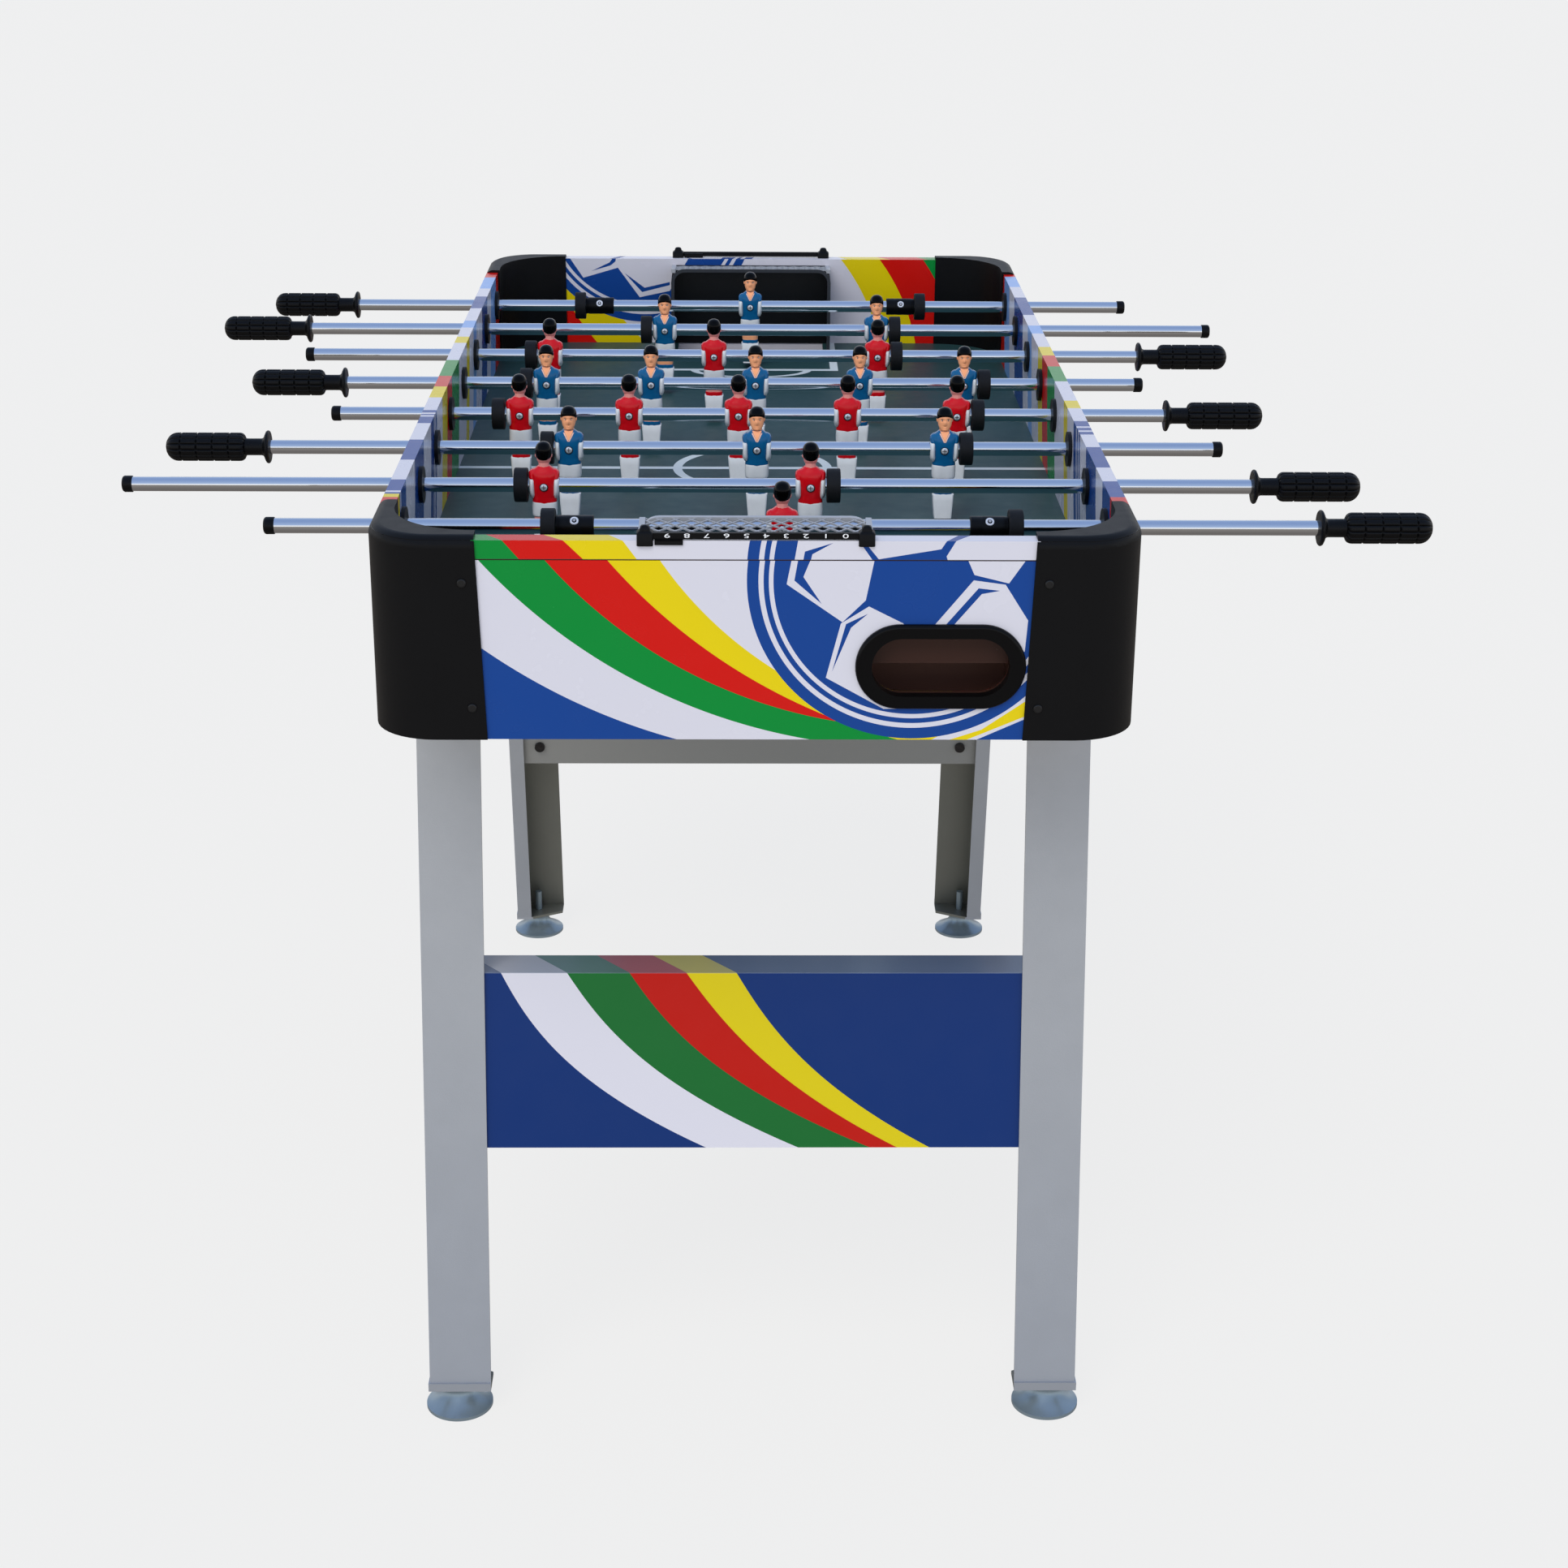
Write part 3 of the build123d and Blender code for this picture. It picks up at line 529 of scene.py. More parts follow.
def stretcher_board(name, end):
    """Print of a stretcher: curved bands on navy, glossy on the top edge with a painted sheen of pale
    patches there; bare grey inside.
    """
    graph = Graph(f"print_stretcher_{name}", rough=0.25)
    low, high = box_mm(f"stretcher_{name}")
    x, y, z = graph.axes_mm()
    p = graph.times(x, -end)
    depth = graph.minus(behind_leg_face(graph, graph.times(y, end), z), STRETCHER_SET_BACK)
    down = graph.most(graph.share(z, high.z, low.z), 0.0001)
    bend = graph.math("POWER", down, STRETCHER_BEND)
    back_shift = graph.times(graph.most(depth, 0.0), -STRETCHER_TOP_LEAN)
    color = NAVY
    for top, bottom, straight, band in STRETCHER_BANDS:
        run = graph.plus(graph.times(down, straight), graph.times(bend, 1 - straight))
        edge = graph.plus(graph.times(run, bottom - top), top)
        color = graph.paint(graph.above(p, graph.plus(edge, back_shift)), color, band)
    on_top = graph.above(z, high.z - 0.4)
    # painted sheen: pale blue-grey patches on the top edge
    pale = graph.spread(graph.noise(70, 1.0, (1, 20, 20)), 0.15, 0.75)
    color = graph.paint(graph.times(on_top, pale), color, ink(134, 150, 170))
    graph.look("Coat Weight", on_top)
    inside = graph.both(graph.above(depth, 2.0), graph.minus(1.0, on_top))
    graph.look("Base Color", graph.paint(inside, color, ink(128, 128, 125)))
    film(graph, 0.2)
    return graph.material


FIELD_LINE = 9.0  # width of the lines on the field
CENTRE_HALF = (74.6, 75.0)  # half axes of the centre oval
AREA_HALF = 95.5  # half width of the area in front of a goal
AREA_Y = 442.0
ARC_HALF = (65.0, 37.0)  # half width and reach of the arc on that area


def playing_field():
    """Dark green field with white markings and a fine sheen."""
    graph = Graph("playing_field", rough=0.42, specular=0.2)
    x, y, _ = graph.axes_mm()
    away = graph.size(y)
    across = graph.size(x)

    def oval(half_p, half_q, q_from):
        """A line along an oval that is centred on the field's middle line at distance q_from."""
        squash = half_p / half_q
        spot = graph.spot(x, graph.times(graph.minus(away, q_from), squash))
        return graph.ring(spot, 0, 0, half_p - FIELD_LINE / 2, half_p + FIELD_LINE / 2)

    half = FIELD_LINE / 2
    front_line = graph.math("COMPARE", away, AREA_Y, half)
    side_line = graph.math("COMPARE", across, AREA_HALF, half)
    marks = (
        graph.below(away, half),
        oval(*CENTRE_HALF, 0.0),
        graph.both(front_line, graph.below(across, AREA_HALF + half)),
        graph.both(side_line, graph.above(away, AREA_Y - half)),
        graph.both(oval(*ARC_HALF, AREA_Y), graph.below(away, AREA_Y)),
    )
    tone = graph.paint(graph.noise(140, 2.0), ink(35, 64, 65), ink(43, 72, 73))
    graph.look("Base Color", graph.paint(graph.most(*marks), tone, ink(205, 214, 214)))
    graph.rough_from(graph.noise(20, 3.0), 0.34, 0.5)
    graph.relief(graph.noise(1.2, 3.0), 0.05)
    return graph.material


def screws_finish():
    """Black screws in the corner caps, plated bolts in the legs."""
    graph = Graph("screws", rough=0.35)
    x, y, _ = graph.axes_mm()
    on_end = graph.above(graph.size(y), END_FACE)
    on_side = graph.above(graph.size(x), SIDE_FACE)
    black = graph.most(on_end, on_side)
    tone = graph.noise(3, 2.0)
    plated = graph.paint(tone, ink(60, 60, 62), ink(92, 92, 94))
    graph.look("Base Color", graph.paint(black, plated, ink(16, 16, 17)))
    graph.look("Metallic", graph.minus(1.0, black))
    graph.rough_from(tone, 0.28, 0.45)
    graph.relief(graph.noise(0.5, 2.0), 0.02)
    return graph.material


# ---------------- mesh shapes
def put(name, data):
    """A new object in the scene."""
    made = bpy.data.objects.new(name, data)
    bpy.context.scene.collection.objects.link(made)
    return made


def finish_mesh(mesh, material):
    """Give a mesh one material."""
    mesh.materials.clear()
    mesh.materials.append(material)


class Shape:
    """Points and faces of one piece, gathered part by part; each face keeps its material's place."""

    def __init__(self):
        self.points = []
        self.faces = []
        self.slots = []

    def add(self, points, faces, slot):
        first = len(self.points)
        self.points.extend(Vector(p) for p in points)
        self.faces.extend(tuple(first + i for i in face) for face in faces)
        self.slots.extend([slot] * len(faces))

    def rings(self, rings, slot, capped=True):
        """A skin over rings of points; the rings run along the shape and their ends are closed."""
        count = len(rings[0])
        points = [p for ring in rings for p in ring]
        faces = []
        for i in range(len(rings) - 1):
            for j in range(count):
                k = (j + 1) % count
                faces.append((i * count + j, i * count + k, (i + 1) * count + k, (i + 1) * count + j))
        if capped:
            last = (len(rings) - 1) * count
            faces.append(tuple(range(count - 1, -1, -1)))
            faces.append(tuple(range(last, last + count)))
        self.add(points, faces, slot)

    def lathe(self, profile, slot, count=32, capped=True):
        """A turned part along X: profile is (x, radius) from one end to the other."""
        rings = [[(x, radius * c, radius * s) for c, s in turns(count)] for x, radius in profile]
        self.rings(rings, slot, capped)

    def block(self, low, high, slot):
        """A box with slightly rounded edges along Z."""
        x0, y0, z0 = low
        x1, y1, z1 = high
        ease = min(x1 - x0, y1 - y0) * 0.12
        plan = [
            (x0 + ease, y0), (x1 - ease, y0), (x1, y0 + ease), (x1, y1 - ease),
            (x1 - ease, y1), (x0 + ease, y1), (x0, y1 - ease), (x0, y0 + ease),
        ]
        self.rings([[(x, y, z) for x, y in plan] for z in (z0, z1)], slot)

    def blob(self, centre, radii, slot, count=12, rows=7):
        """A closed egg."""
        (x, y, z), (wide, deep, high) = centre, radii
        rings = []
        for i in range(rows):
            tilt = pi * (i + 0.5) / rows
            w, d, up = wide * sin(tilt), deep * sin(tilt), high * cos(tilt)
            rings.append([(x + w * c, y + d * s, z - up) for c, s in turns(count)])
        self.rings(rings, slot)

    def strut(self, start, end, side, up, slot):
        """A square bar between two points; side and up are half its width and height as vectors."""
        corners = [(-1, -1), (1, -1), (1, 1), (-1, 1)]
        rings = [[Vector(p) + a * side + b * up for a, b in corners] for p in (start, end)]
        self.rings(rings, slot)

    def join(self, other, matrix):
        """Add a moved copy of another shape."""
        first = len(self.points)
        self.points.extend(matrix @ p for p in other.points)
        self.faces.extend(tuple(first + i for i in face) for face in other.faces)
        self.slots.extend(other.slots)

    def moved(self, matrix):
        """A moved copy."""
        copy = Shape()
        copy.join(self, matrix)
        return copy

    def build(self, name, body, materials, slot, replaces=(), crease=40):
        """Make the piece, in place, riding on a body."""
        mesh = bpy.data.meshes.new(name)
        mesh.from_pydata([p * MM for p in self.points], [], self.faces)
        for material in materials:
            mesh.materials.append(material)
        mesh.polygons.foreach_set("material_index", self.slots)
        mesh.validate()
        mesh.shade_smooth()
        mesh.set_sharp_from_angle(angle=radians(crease))
        piece = put(name, mesh)
        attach(piece, body)
        if replaces:
            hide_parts(*replaces)
        return piece


def turns(count):
    """Cosine and sine of even steps round a circle."""
    return [(cos(2 * pi * i / count), sin(2 * pi * i / count)) for i in range(count)]


def oval(width, depth, z, y=0.0, power=2.6, count=32):
    """A superellipse ring level with z."""
    ring = []
    for c, s in turns(count):
        across, along = copysign(abs(c) ** (2 / power), c), copysign(abs(s) ** (2 / power), s)
        ring.append(Vector((width / 2 * across, y + depth / 2 * along, z)))
    return ring


def eased(keys, steps):
    """Rows between key rows of numbers, on a Catmull-Rom curve through them."""
    padded = [keys[0], *keys, keys[-1]]
    rows = []
    for i in range(1, len(padded) - 2):
        a, b, c, d = padded[i - 1:i + 3]
        for step in range(steps):
            t = step / steps
            row = []
            for p, q, r, s in zip(a, b, c, d):
                square = (2 * p - 5 * q + 4 * r - s) * t * t
                cube = (3 * q - p - 3 * r + s) * t ** 3
                row.append(0.5 * (2 * q + (r - p) * t + square + cube))
            rows.append(row)
    rows.append(list(keys[-1]))
    return rows


def half_turn(end):
    """What takes a part made for the positive end to either end."""
    return Matrix.Rotation(0 if end > 0 else pi, 4, "Z")


def dent(point, x, z, wide, high, depth):
    """How far a soft round dent at (x, z) pushes a point."""
    return depth * exp(-((point.x - x) / wide) ** 2 - ((point.z - z) / high) ** 2)


# ---------------- men
JERSEY, SKIN, KIT, HAIR, TRIM, STEEL, BLACK_AND_SHADE, EYE = range(8)  # places of a man's materials
JERSEY_KEYS = (  # z, width, depth
    (-15.2, 20.6, 14.0), (-14.2, 21.4, 14.8), (-9, 20.8, 15.6), (-3, 21.4, 17.2), (3, 22.6, 18.2),
    (8, 24.0, 18.0), (11.5, 23.6, 16.4), (14, 19.6, 14.2), (16, 14.2, 11.8), (17.4, 10.6, 10.4),
)
JERSEY_POWER = 2.6  # squareness of the jersey's rings
LOWER_KEYS = {  # z, width, depth
    "shorts": (
        (-13.8, 20.6, 14.2), (-15.5, 21.8, 15.2), (-21, 22.0, 15.6), (-26.2, 21.4, 15.2),
        (-26.6, 19.0, 13.2),
    ),
    "knees": ((-25.5, 18.6, 12.8), (-30, 18.8, 13.4), (-34, 18.2, 13.2), (-38.4, 17.2, 12.2)),
    "socks": ((-37.6, 16.6, 12.0), (-38.2, 17.8, 12.9), (-40, 17.8, 12.8), (-42.6, 17.4, 12.4)),
}
HEAD_KEYS = (  # z, width, depth, y of the middle
    (17.8, 4.0, 4.6, -3.6), (18.6, 7.4, 8.4, -2.6), (20.4, 10.2, 11.6, -1.2), (22.8, 12.0, 13.6, -0.4),
    (26, 13.0, 15.0, 0.1), (29.5, 13.4, 15.8, 0.3), (33, 13.0, 15.6, 0.4), (36, 11.0, 13.2, 0.5),
    (38.2, 6.4, 8.0, 0.6),
)
SLEEVE_KEYS = (  # x and y of the middle, z, half width, half depth
    (8.2, 0.2, 14.6, 2.0, 3.4), (9.4, 0, 13.2, 3.0, 4.8), (10.2, 0, 11.0, 3.2, 5.8),
    (10.3, 0, 8.6, 3.1, 6.6), (10.2, 0, 6.8, 2.9, 7.0), (10.2, 0, 6.4, 2.3, 6.0),
)
ARM_KEYS = (
    (10.3, 0, 7.4, 2.4, 5.6), (10.6, 0, 5.4, 2.85, 8.0), (10.7, 0, 2.0, 2.9, 9.3),
    (10.7, 0, -1.5, 2.9, 9.5), (10.6, 0, -5.0, 2.8, 9.1), (10.3, -0.2, -8.0, 2.7, 7.6),
    (9.9, -0.4, -10.6, 2.0, 5.0),
)
HAIR_FRONT_Z = 31.6
HAIR_BACK_Z = 23.5
HAIR_SWELL = 0.75  # how far the hair stands off the head
HAIR_TOP_Z = 39.0
HAIR_CROWN_Z = 33.0  # where the hair starts to close over the head
HAIR_LEVELS = 12
MAN_WIDTH = 27.2  # over the sleeves, as in the frame
FOOT_TOP = (20.0, 12.6, -41.6)
FOOT_SOLE = (16.4, 20.0, -64.0)


def tube_between(shape, path, slot, count=20):
    """A limb through (x, y, z, half width, half depth) rows, level rings."""
    rings = []
    for x, y, z, half_w, half_d in path:
        ring = oval(2 * half_w, 2 * half_d, z, y, 2.2, count)
        rings.append([p + Vector((x, 0, 0)) for p in ring])
    shape.rings(rings, slot)


FEATURES = (  # x, z, width, height and depth of each dent, negative where it stands out
    (0.0, 25.6, 1.3, 2.4, -1.7),  # nose
    (-2.8, 28.0, 1.5, 1.1, 0.8), (2.8, 28.0, 1.5, 1.1, 0.8),  # sockets
    (0.0, 30.0, 4.6, 0.8, -0.45),  # brow
    (0.0, 22.4, 2.2, 0.45, 0.5),  # mouth
    (0.0, 21.4, 1.8, 0.6, -0.35), (0.0, 19.4, 1.9, 0.9, -0.55),  # lip and chin
)


def head_point(point):
    """Plain toy features pressed into the head."""
    if point.y > 0:
        return point
    push = sum(dent(point, *place) for place in FEATURES)
    return Vector((point.x, point.y + push, point.z))


def man_head(shape):
    """Neck, head with plain features, and the cap of hair."""
    neck = ((13.5, 9.8, 9.8), (16.5, 9.6, 9.6), (20, 9.2, 9.4), (24, 9.4, 9.6))
    shape.rings([oval(w, d, z, 0.6, 2.0, 24) for z, w, d in eased(neck, 3)], SKIN)
    rows = eased(HEAD_KEYS, 4)
    shape.rings([[head_point(p) for p in oval(w, d, z, y, 2.15, 44)] for z, w, d, y in rows], SKIN)
    for side in (-1, 1):
        shape.blob((side * 6.7, 0.9, 27.0), (0.9, 1.5, 2.1), SKIN)
        shape.blob((side * 2.7, -6.55, 28.0), (0.95, 0.5, 0.55), KIT)
        shape.blob((side * 2.6, -6.92, 28.0), (0.48, 0.3, 0.48), EYE)
        shape.blob((side * 2.8, -7.25, 29.5), (1.3, 0.35, 0.2), EYE)
    shape.blob((0, -6.2, 22.5), (1.5, 0.35, 0.2), TRIM)
    rings = []
    for i in range(HAIR_LEVELS):
        share = i / (HAIR_LEVELS - 1)
        ring = []
        for p in oval(1.0, 1.0, 0.0, 0.0, 2.1, 40):
            low = (HAIR_FRONT_Z + HAIR_BACK_Z) / 2 - (HAIR_FRONT_Z - HAIR_BACK_Z) * p.y
            z = low + (HAIR_TOP_Z - low) * sin(share * pi / 2)
            width, depth, y = at_height(HEAD_KEYS, z)
            swell = HAIR_SWELL * (1 if i else 0.4)
            crown = max(0.0, (z - HAIR_CROWN_Z) / (HAIR_TOP_Z - HAIR_CROWN_Z))
            shrink = max(0.0, 1 - crown ** 2.6) ** 0.5
            half_w = (max(width, 11.5) / 2 + swell) * shrink
            half_d = (max(depth, 13.5) / 2 + swell) * shrink
            ring.append(Vector((2 * p.x * half_w, y + 2 * p.y * half_d, z)))
        rings.append(ring)
    shape.rings(rings, HAIR)


def at_height(keys, z):
    """The numbers of a key table at height z."""
    z = min(max(z, keys[0][0]), keys[-1][0])
    for (za, *a), (zb, *b) in zip(keys, keys[1:]):
        if z <= zb:
            share = (z - za) / (zb - za)
            return [p + (q - p) * share for p, q in zip(a, b)]


def jersey_front(x, z):
    """Distance of the jersey's front skin from the man's middle plane."""
    width, depth = at_height(JERSEY_KEYS, z)
    return depth / 2 * max(0.0, 1 - abs(2 * x / width) ** JERSEY_POWER) ** (1 / JERSEY_POWER)


def ribbon(shape, route, half_width, lift, slot):
    """A flat raised strip on the jersey's front along (x, z) points."""
    rings = []
    for x, z in route:
        ring = []
        for across in (-half_width, half_width):
            for out in (-0.5, lift):
                ring.append(Vector((x + across, -jersey_front(x + across, z) - out, z)))
        rings.append([ring[0], ring[2], ring[3], ring[1]])
    shape.rings(rings, slot)


def man_body(shape):
    """Jersey with sleeves, arms, neck opening and trim; shorts, knees, socks and kicking block."""
    rings = []
    for z, width, depth in eased(JERSEY_KEYS, 4):
        ring = []
        for p in oval(width, depth, z, 0.0, JERSEY_POWER, 40):
            crease = dent(p, 6.0, -8.0, 3.0, 1.0, 0.3) + dent(p, -6.5, -10.5, 3.0, 1.0, 0.3)
            toward = -crease if p.y > 0 else crease
            ring.append(Vector((p.x, p.y + toward, p.z)))
        rings.append(ring)
    shape.rings(rings, JERSEY)
    for side in (-1, 1):
        for rows, slot in ((SLEEVE_KEYS, JERSEY), (ARM_KEYS, KIT)):
            path = [(side * x, y, z, half_w, half_d) for x, y, z, half_w, half_d in eased(rows, 3)]
            tube_between(shape, path, slot)
        edge = [(side * (0.4 + 0.52 * (z - 8.0)), z) for z in (8.0, 10.0, 12.0, 14.0, 15.6)]
        ribbon(shape, edge, 0.55, 0.35, TRIM)
    rows = []
    for z in (9.2, 11.0, 13.0, 15.0, 16.6, 17.35):
        half = 0.48 * (z - 8.4)
        front = -jersey_front(0.0, z) - 0.12
        corners = ((-half, 0), (half, 0), (half, 0.9), (-half, 0.9))
        rows.append([Vector((x, front + back, z)) for x, back in corners])
    shape.rings(rows, SKIN)
    for name, slot in (("shorts", KIT), ("knees", SKIN), ("socks", JERSEY)):
        rings = []
        for z, width, depth in eased(LOWER_KEYS[name], 4):
            ring = []
            for p in oval(width, depth, z, 0.0, 2.8, 36):
                groove = dent(p, 0.0, -30.0, 1.5, 14.0, 1.1)
                ring.append(Vector((p.x, p.y + (groove if p.y < 0 else -groove), p.z)))
            rings.append(ring)
        shape.rings(rings, slot)
    block = []
    for share in (0.0, 0.02, 0.3, 0.6, 0.9, 0.985, 1.0):
        width, depth, z = (a + (b - a) * share for a, b in zip(FOOT_TOP, FOOT_SOLE))
        ease = 0.95 if share in (0.0, 1.0) else 1.0
        block.append(oval(width * ease, depth * ease, z, 0.0, 9.0, 36))
    shape.rings(block, KIT)


def screw(shape, radius, rim, face, way, rim_slot=BLACK_AND_SHADE, head_slot=STEEL):
    """A cross-head screw in a socket ring, on a face at distance `face` along way * Y; the ring and the
    raised cross take rim_slot, which on the men is painted shade for the hole round the screw and the
    recess of its cross.
    """
    turned = Shape()
    socket = [(face - 2, rim), (face + 0.2, rim), (face + 0.5, rim - 0.35), (face + 0.5, radius + 0.1)]
    turned.lathe(socket, rim_slot, 28)
    dome = ((-1, 1), (0.5, 1), (0.9, 0.86), (1.15, 0.5), (1.2, 0.08))
    turned.lathe([(face + out, radius * share) for out, share in dome], head_slot, 28)
    for side, up in (((0, 0.3, 0), (0, 0, radius * 0.62)), ((0, radius * 0.62, 0), (0, 0, 0.3))):
        turned.strut((face + 0.6, 0, 0), (face + 1.24, 0, 0), Vector(side), Vector(up), rim_slot)
    shape.join(turned, Matrix.Rotation(way * pi / 2, 4, "Z"))


def man(screw_way):
    """One man on the rod's axis, facing -Y, with his screw on the -Y or +Y side."""
    shape = Shape()
    man_body(shape)
    man_head(shape)
    # painted shade: the dark socket ring and dark cross stand for the shaded hole round the screw and the
    # recess of its cross
    screw(shape, 3.0, 3.9, 8.7, screw_way)
    return shape


def build_men():
    """The men of every rod, one piece a rod, where the CAD has them."""
    pink = gloss_paint("man_skin_pink", ink(232, 150, 142), 0.3, 0.05)
    tan = gloss_paint("man_skin_tan", ink(250, 172, 124), 0.3, 0.05)
    white = gloss_paint("man_white", ink(212, 216, 218), 0.28, 0.2)
    hair = moulded("man_hair", ink(3, 3, 3), 0.2, 1.6, 0.03, specular=0.12)
    trim = gloss_paint("man_trim", ink(236, 190, 168), 0.3, 0.15)
    red_paint = gloss_paint("man_red", ink(200, 6, 20))
    blue_paint = gloss_paint("man_blue", ink(8, 88, 136))
    eye = gloss_paint("man_eye", ink(96, 60, 44), 0.3, 0.2)
    for rod in RODS:
        red = rod in RED_RODS
        y, z = rod_axis(rod)
        one = man(1 if red else -1)
        shape = Shape()
        for x in men_places(rod):
            shape.join(one, Matrix.Translation((x, y, z)) @ half_turn(-1 if red else 1))
        jersey, skin = (red_paint, pink) if red else (blue_paint, tan)
        materials = [jersey, skin, white, hair, trim, bright_steel, soot, eye]
        slot = "red_figure" if red else "blue_figure"
        shape.build(f"rod_{rod}_figures", f"rod_{rod}_spin", materials, slot, [f"rod_{rod}_men"])


def men_places(rod):
    """X of each man of a rod, from the CAD solids' own extent."""
    count = (1, 2, 3, 5, 5, 3, 2, 1)[rod - 1]
    low, high = box_mm(f"rod_{rod}_men")
    if count == 1:
        return [(low.x + high.x) / 2]
    pitch = (high.x - low.x - MAN_WIDTH) / (count - 1)
    return [low.x + MAN_WIDTH / 2 + pitch * i for i in range(count)]


# ---------------- handles, end caps and clamp sleeves
GRIP_START = 22.5
GRIP_END = 95.5
GRIP_R = 13.0
GRIP_SEGMENTS = 5
GRIP_COLUMNS = 14
GRIP_GROOVE = 1.15
BUMPER_THICK = 12.0
SLEEVE_GAP = 0.3  # between a bumper and its clamp sleeve
CLAMP_SCREW_OUT = 15.5  # from the sleeve's end to its screw
CLAMP_SCREW_LIFT = {1: radians(46), 8: radians(28)}


def grip_radius(x, turn):
    """Radius of the grip: rounded ends, and pads between ring and long grooves."""
    along = (x - GRIP_START) / (GRIP_END - GRIP_START)
    start_ease = min(1.0, (x - GRIP_START) / 5.5)
    end_ease = min(1.0, (GRIP_END - x) / 12.0)
    radius = GRIP_R * (0.62 + 0.38 * (1 - (1 - start_ease) ** 2) ** 0.5)
    radius *= (1 - (1 - end_ease) ** 2.2) ** 0.5 if end_ease < 1 else 1
    ring = abs((along * GRIP_SEGMENTS) % 1.0 - 0.5) * 2
    column = abs((turn / (2 * pi) * GRIP_COLUMNS) % 1.0 - 0.5) * 2
    ring_groove = max(0.0, (ring - 0.86) / 0.14) if 0.06 < along < 0.94 else 0.0
    column_groove = max(0.0, (column - 0.62) / 0.38)
    groove = max(ring_groove, column_groove ** 1.5 * min(1.0, end_ease * 1.6))
    return max(0.4, radius - GRIP_GROOVE * groove)


def handle_shape():
    """A handle along +X from its flange at x = 0."""
    shape = Shape()
    flange = [
        (0.0, 7.2), (0.2, 12.6), (0.5, 14.2), (1.4, 15.0), (2.4, 15.0), (3.4, 14.4), (4.6, 12.0),
        (5.6, 9.4),
    ]
    neck = [(6.6, 8.2), (8.2, 7.7), (GRIP_START - 1.5, 7.7), (GRIP_START + 1, 8.4)]
    shape.lathe(flange + neck, 0, 48)
    around = GRIP_COLUMNS * 8
    along = GRIP_SEGMENTS * 14
    rings = []
    for i in range(along + 1):
        x = GRIP_START + (GRIP_END - GRIP_START) * i / along
        ring = []
        for j in range(around):
            turn = 2 * pi * j / around
            radius = grip_radius(min(max(x, GRIP_START + 0.05), GRIP_END - 0.05), turn)
            ring.append((x, radius * cos(turn), radius * sin(turn)))
        rings.append(ring)
    shape.rings(rings, 0)
    return shape


def build_fittings():
    """Handle and end cap of every rod, and the clamp sleeves of the goalkeepers' rods."""
    handle = handle_shape()
    for rod in RODS:
        low, high = box_mm(f"rod_{rod}_fittings")
        tube_low, tube_high = box_mm(f"rod_{rod}_tube")
        y, z = rod_axis(rod)
        side = 1 if high.x - tube_high.x > tube_low.x - low.x else -1
        outer = high.x if side > 0 else low.x
        cap_x = low.x if side > 0 else high.x
        shape = Shape()
        turn = half_turn(side)
        shape.join(handle, Matrix.Translation((outer - side * GRIP_END, y, z)) @ turn)
        cap = Shape()
        profile = [
            (0, 3.0), (0.1, 5.2), (0.7, 6.4), (1.8, 7.1), (2.2, 7.2), (8.6, 7.2), (9.0, 6.9), (9.0, 6.4),
        ]
        cap.lathe(profile, 0, 40)
        shape.join(cap, Matrix.Translation((cap_x, y, z)) @ turn)
        if rod in GOALKEEPERS:
            bumper_low, bumper_high = box_mm(f"rod_{rod}_bumpers")
            for way, face in ((-1, bumper_low.x), (1, bumper_high.x)):
                sleeve = clamp_sleeve()
                near = face - way * (BUMPER_THICK + SLEEVE_GAP)
                shape.join(sleeve, Matrix.Translation((near, y, z)) @ half_turn(way))
                ring = clamp_screw(CLAMP_SCREW_LIFT[rod])
                shape.join(ring, Matrix.Translation((near - way * CLAMP_SCREW_OUT, y, z)))
        materials = [grip_plastic] * STEEL + [bright_steel, soot]
        replaced = [f"rod_{rod}_fittings"]
        shape.build(f"rod_{rod}_grips", f"rod_{rod}_spin", materials, "black_plastic", replaced)


def clamp_sleeve():
    """The clamp sleeve beside a goalkeeper's bumper, along -X from x = 0."""
    shape = Shape()
    profile = [
        (-31.5, 6.6), (-31.5, 8.6), (-31.0, 9.2), (-22.4, 9.25), (-22.0, 9.05), (-21.2, 9.05),
        (-20.8, 9.25), (-3.2, 9.25), (-2.6, 8.9), (-0.4, 8.9), (0, 8.5), (0, 6.6),
    ]
    shape.lathe(profile, 0, 44)
    return shape


def clamp_screw(lift):
    """The screw of a clamp sleeve, on its -Y side, turned up by lift."""
    shape = Shape()
    screw(shape, 2.0, 3.7, 8.9, -1, STEEL, BLACK_AND_SHADE)
    return shape.moved(Matrix.Rotation(-lift, 4, "X"))


# ---------------- goals
MESH_PITCH_X = 13.0
MESH_PITCH_Y = 12.0
MESH_BAR = 0.62  # half thickness of the roof's bars
MESH_SINK = 1.6  # how far below the roof's level the bars run
ROOF_FALL = 6.0  # from the roof's free edge to the end board
RIM_WIDTH = 3.8
RIM_CORNER = 16
RIM_DEPTH = 4.0


def arch(half, top, corner, y, steps=7):
    """Points of an upright arch at y, from the left foot over the rounded corners to the right foot."""
    points = [(-half, y, FIELD_Z)]
    for side, start in ((-1, pi), (1, pi / 2)):
        for i in range(steps + 1):
            turn = start - (pi / 2) * i / steps
            x = side * (half - corner) + corner * cos(turn)
            points.append((x, y, top - corner + corner * sin(turn)))
    return [*points, (half, y, FIELD_Z)]


def arch_shell(shape, half, y0, y1, top0, top1, corner, wall, slot):
    """An arch-shaped shell between two planes of Y, wall thick."""
    outer0, outer1 = arch(half, top0, corner, y0), arch(half, top1, corner, y1)
    inner0 = arch(half - wall, top0 - wall, corner - wall, y0)
    inner1 = arch(half - wall, top1 - wall, corner - wall, y1)
    shape.rings(list(zip(outer0, outer1, inner1, inner0)), slot)


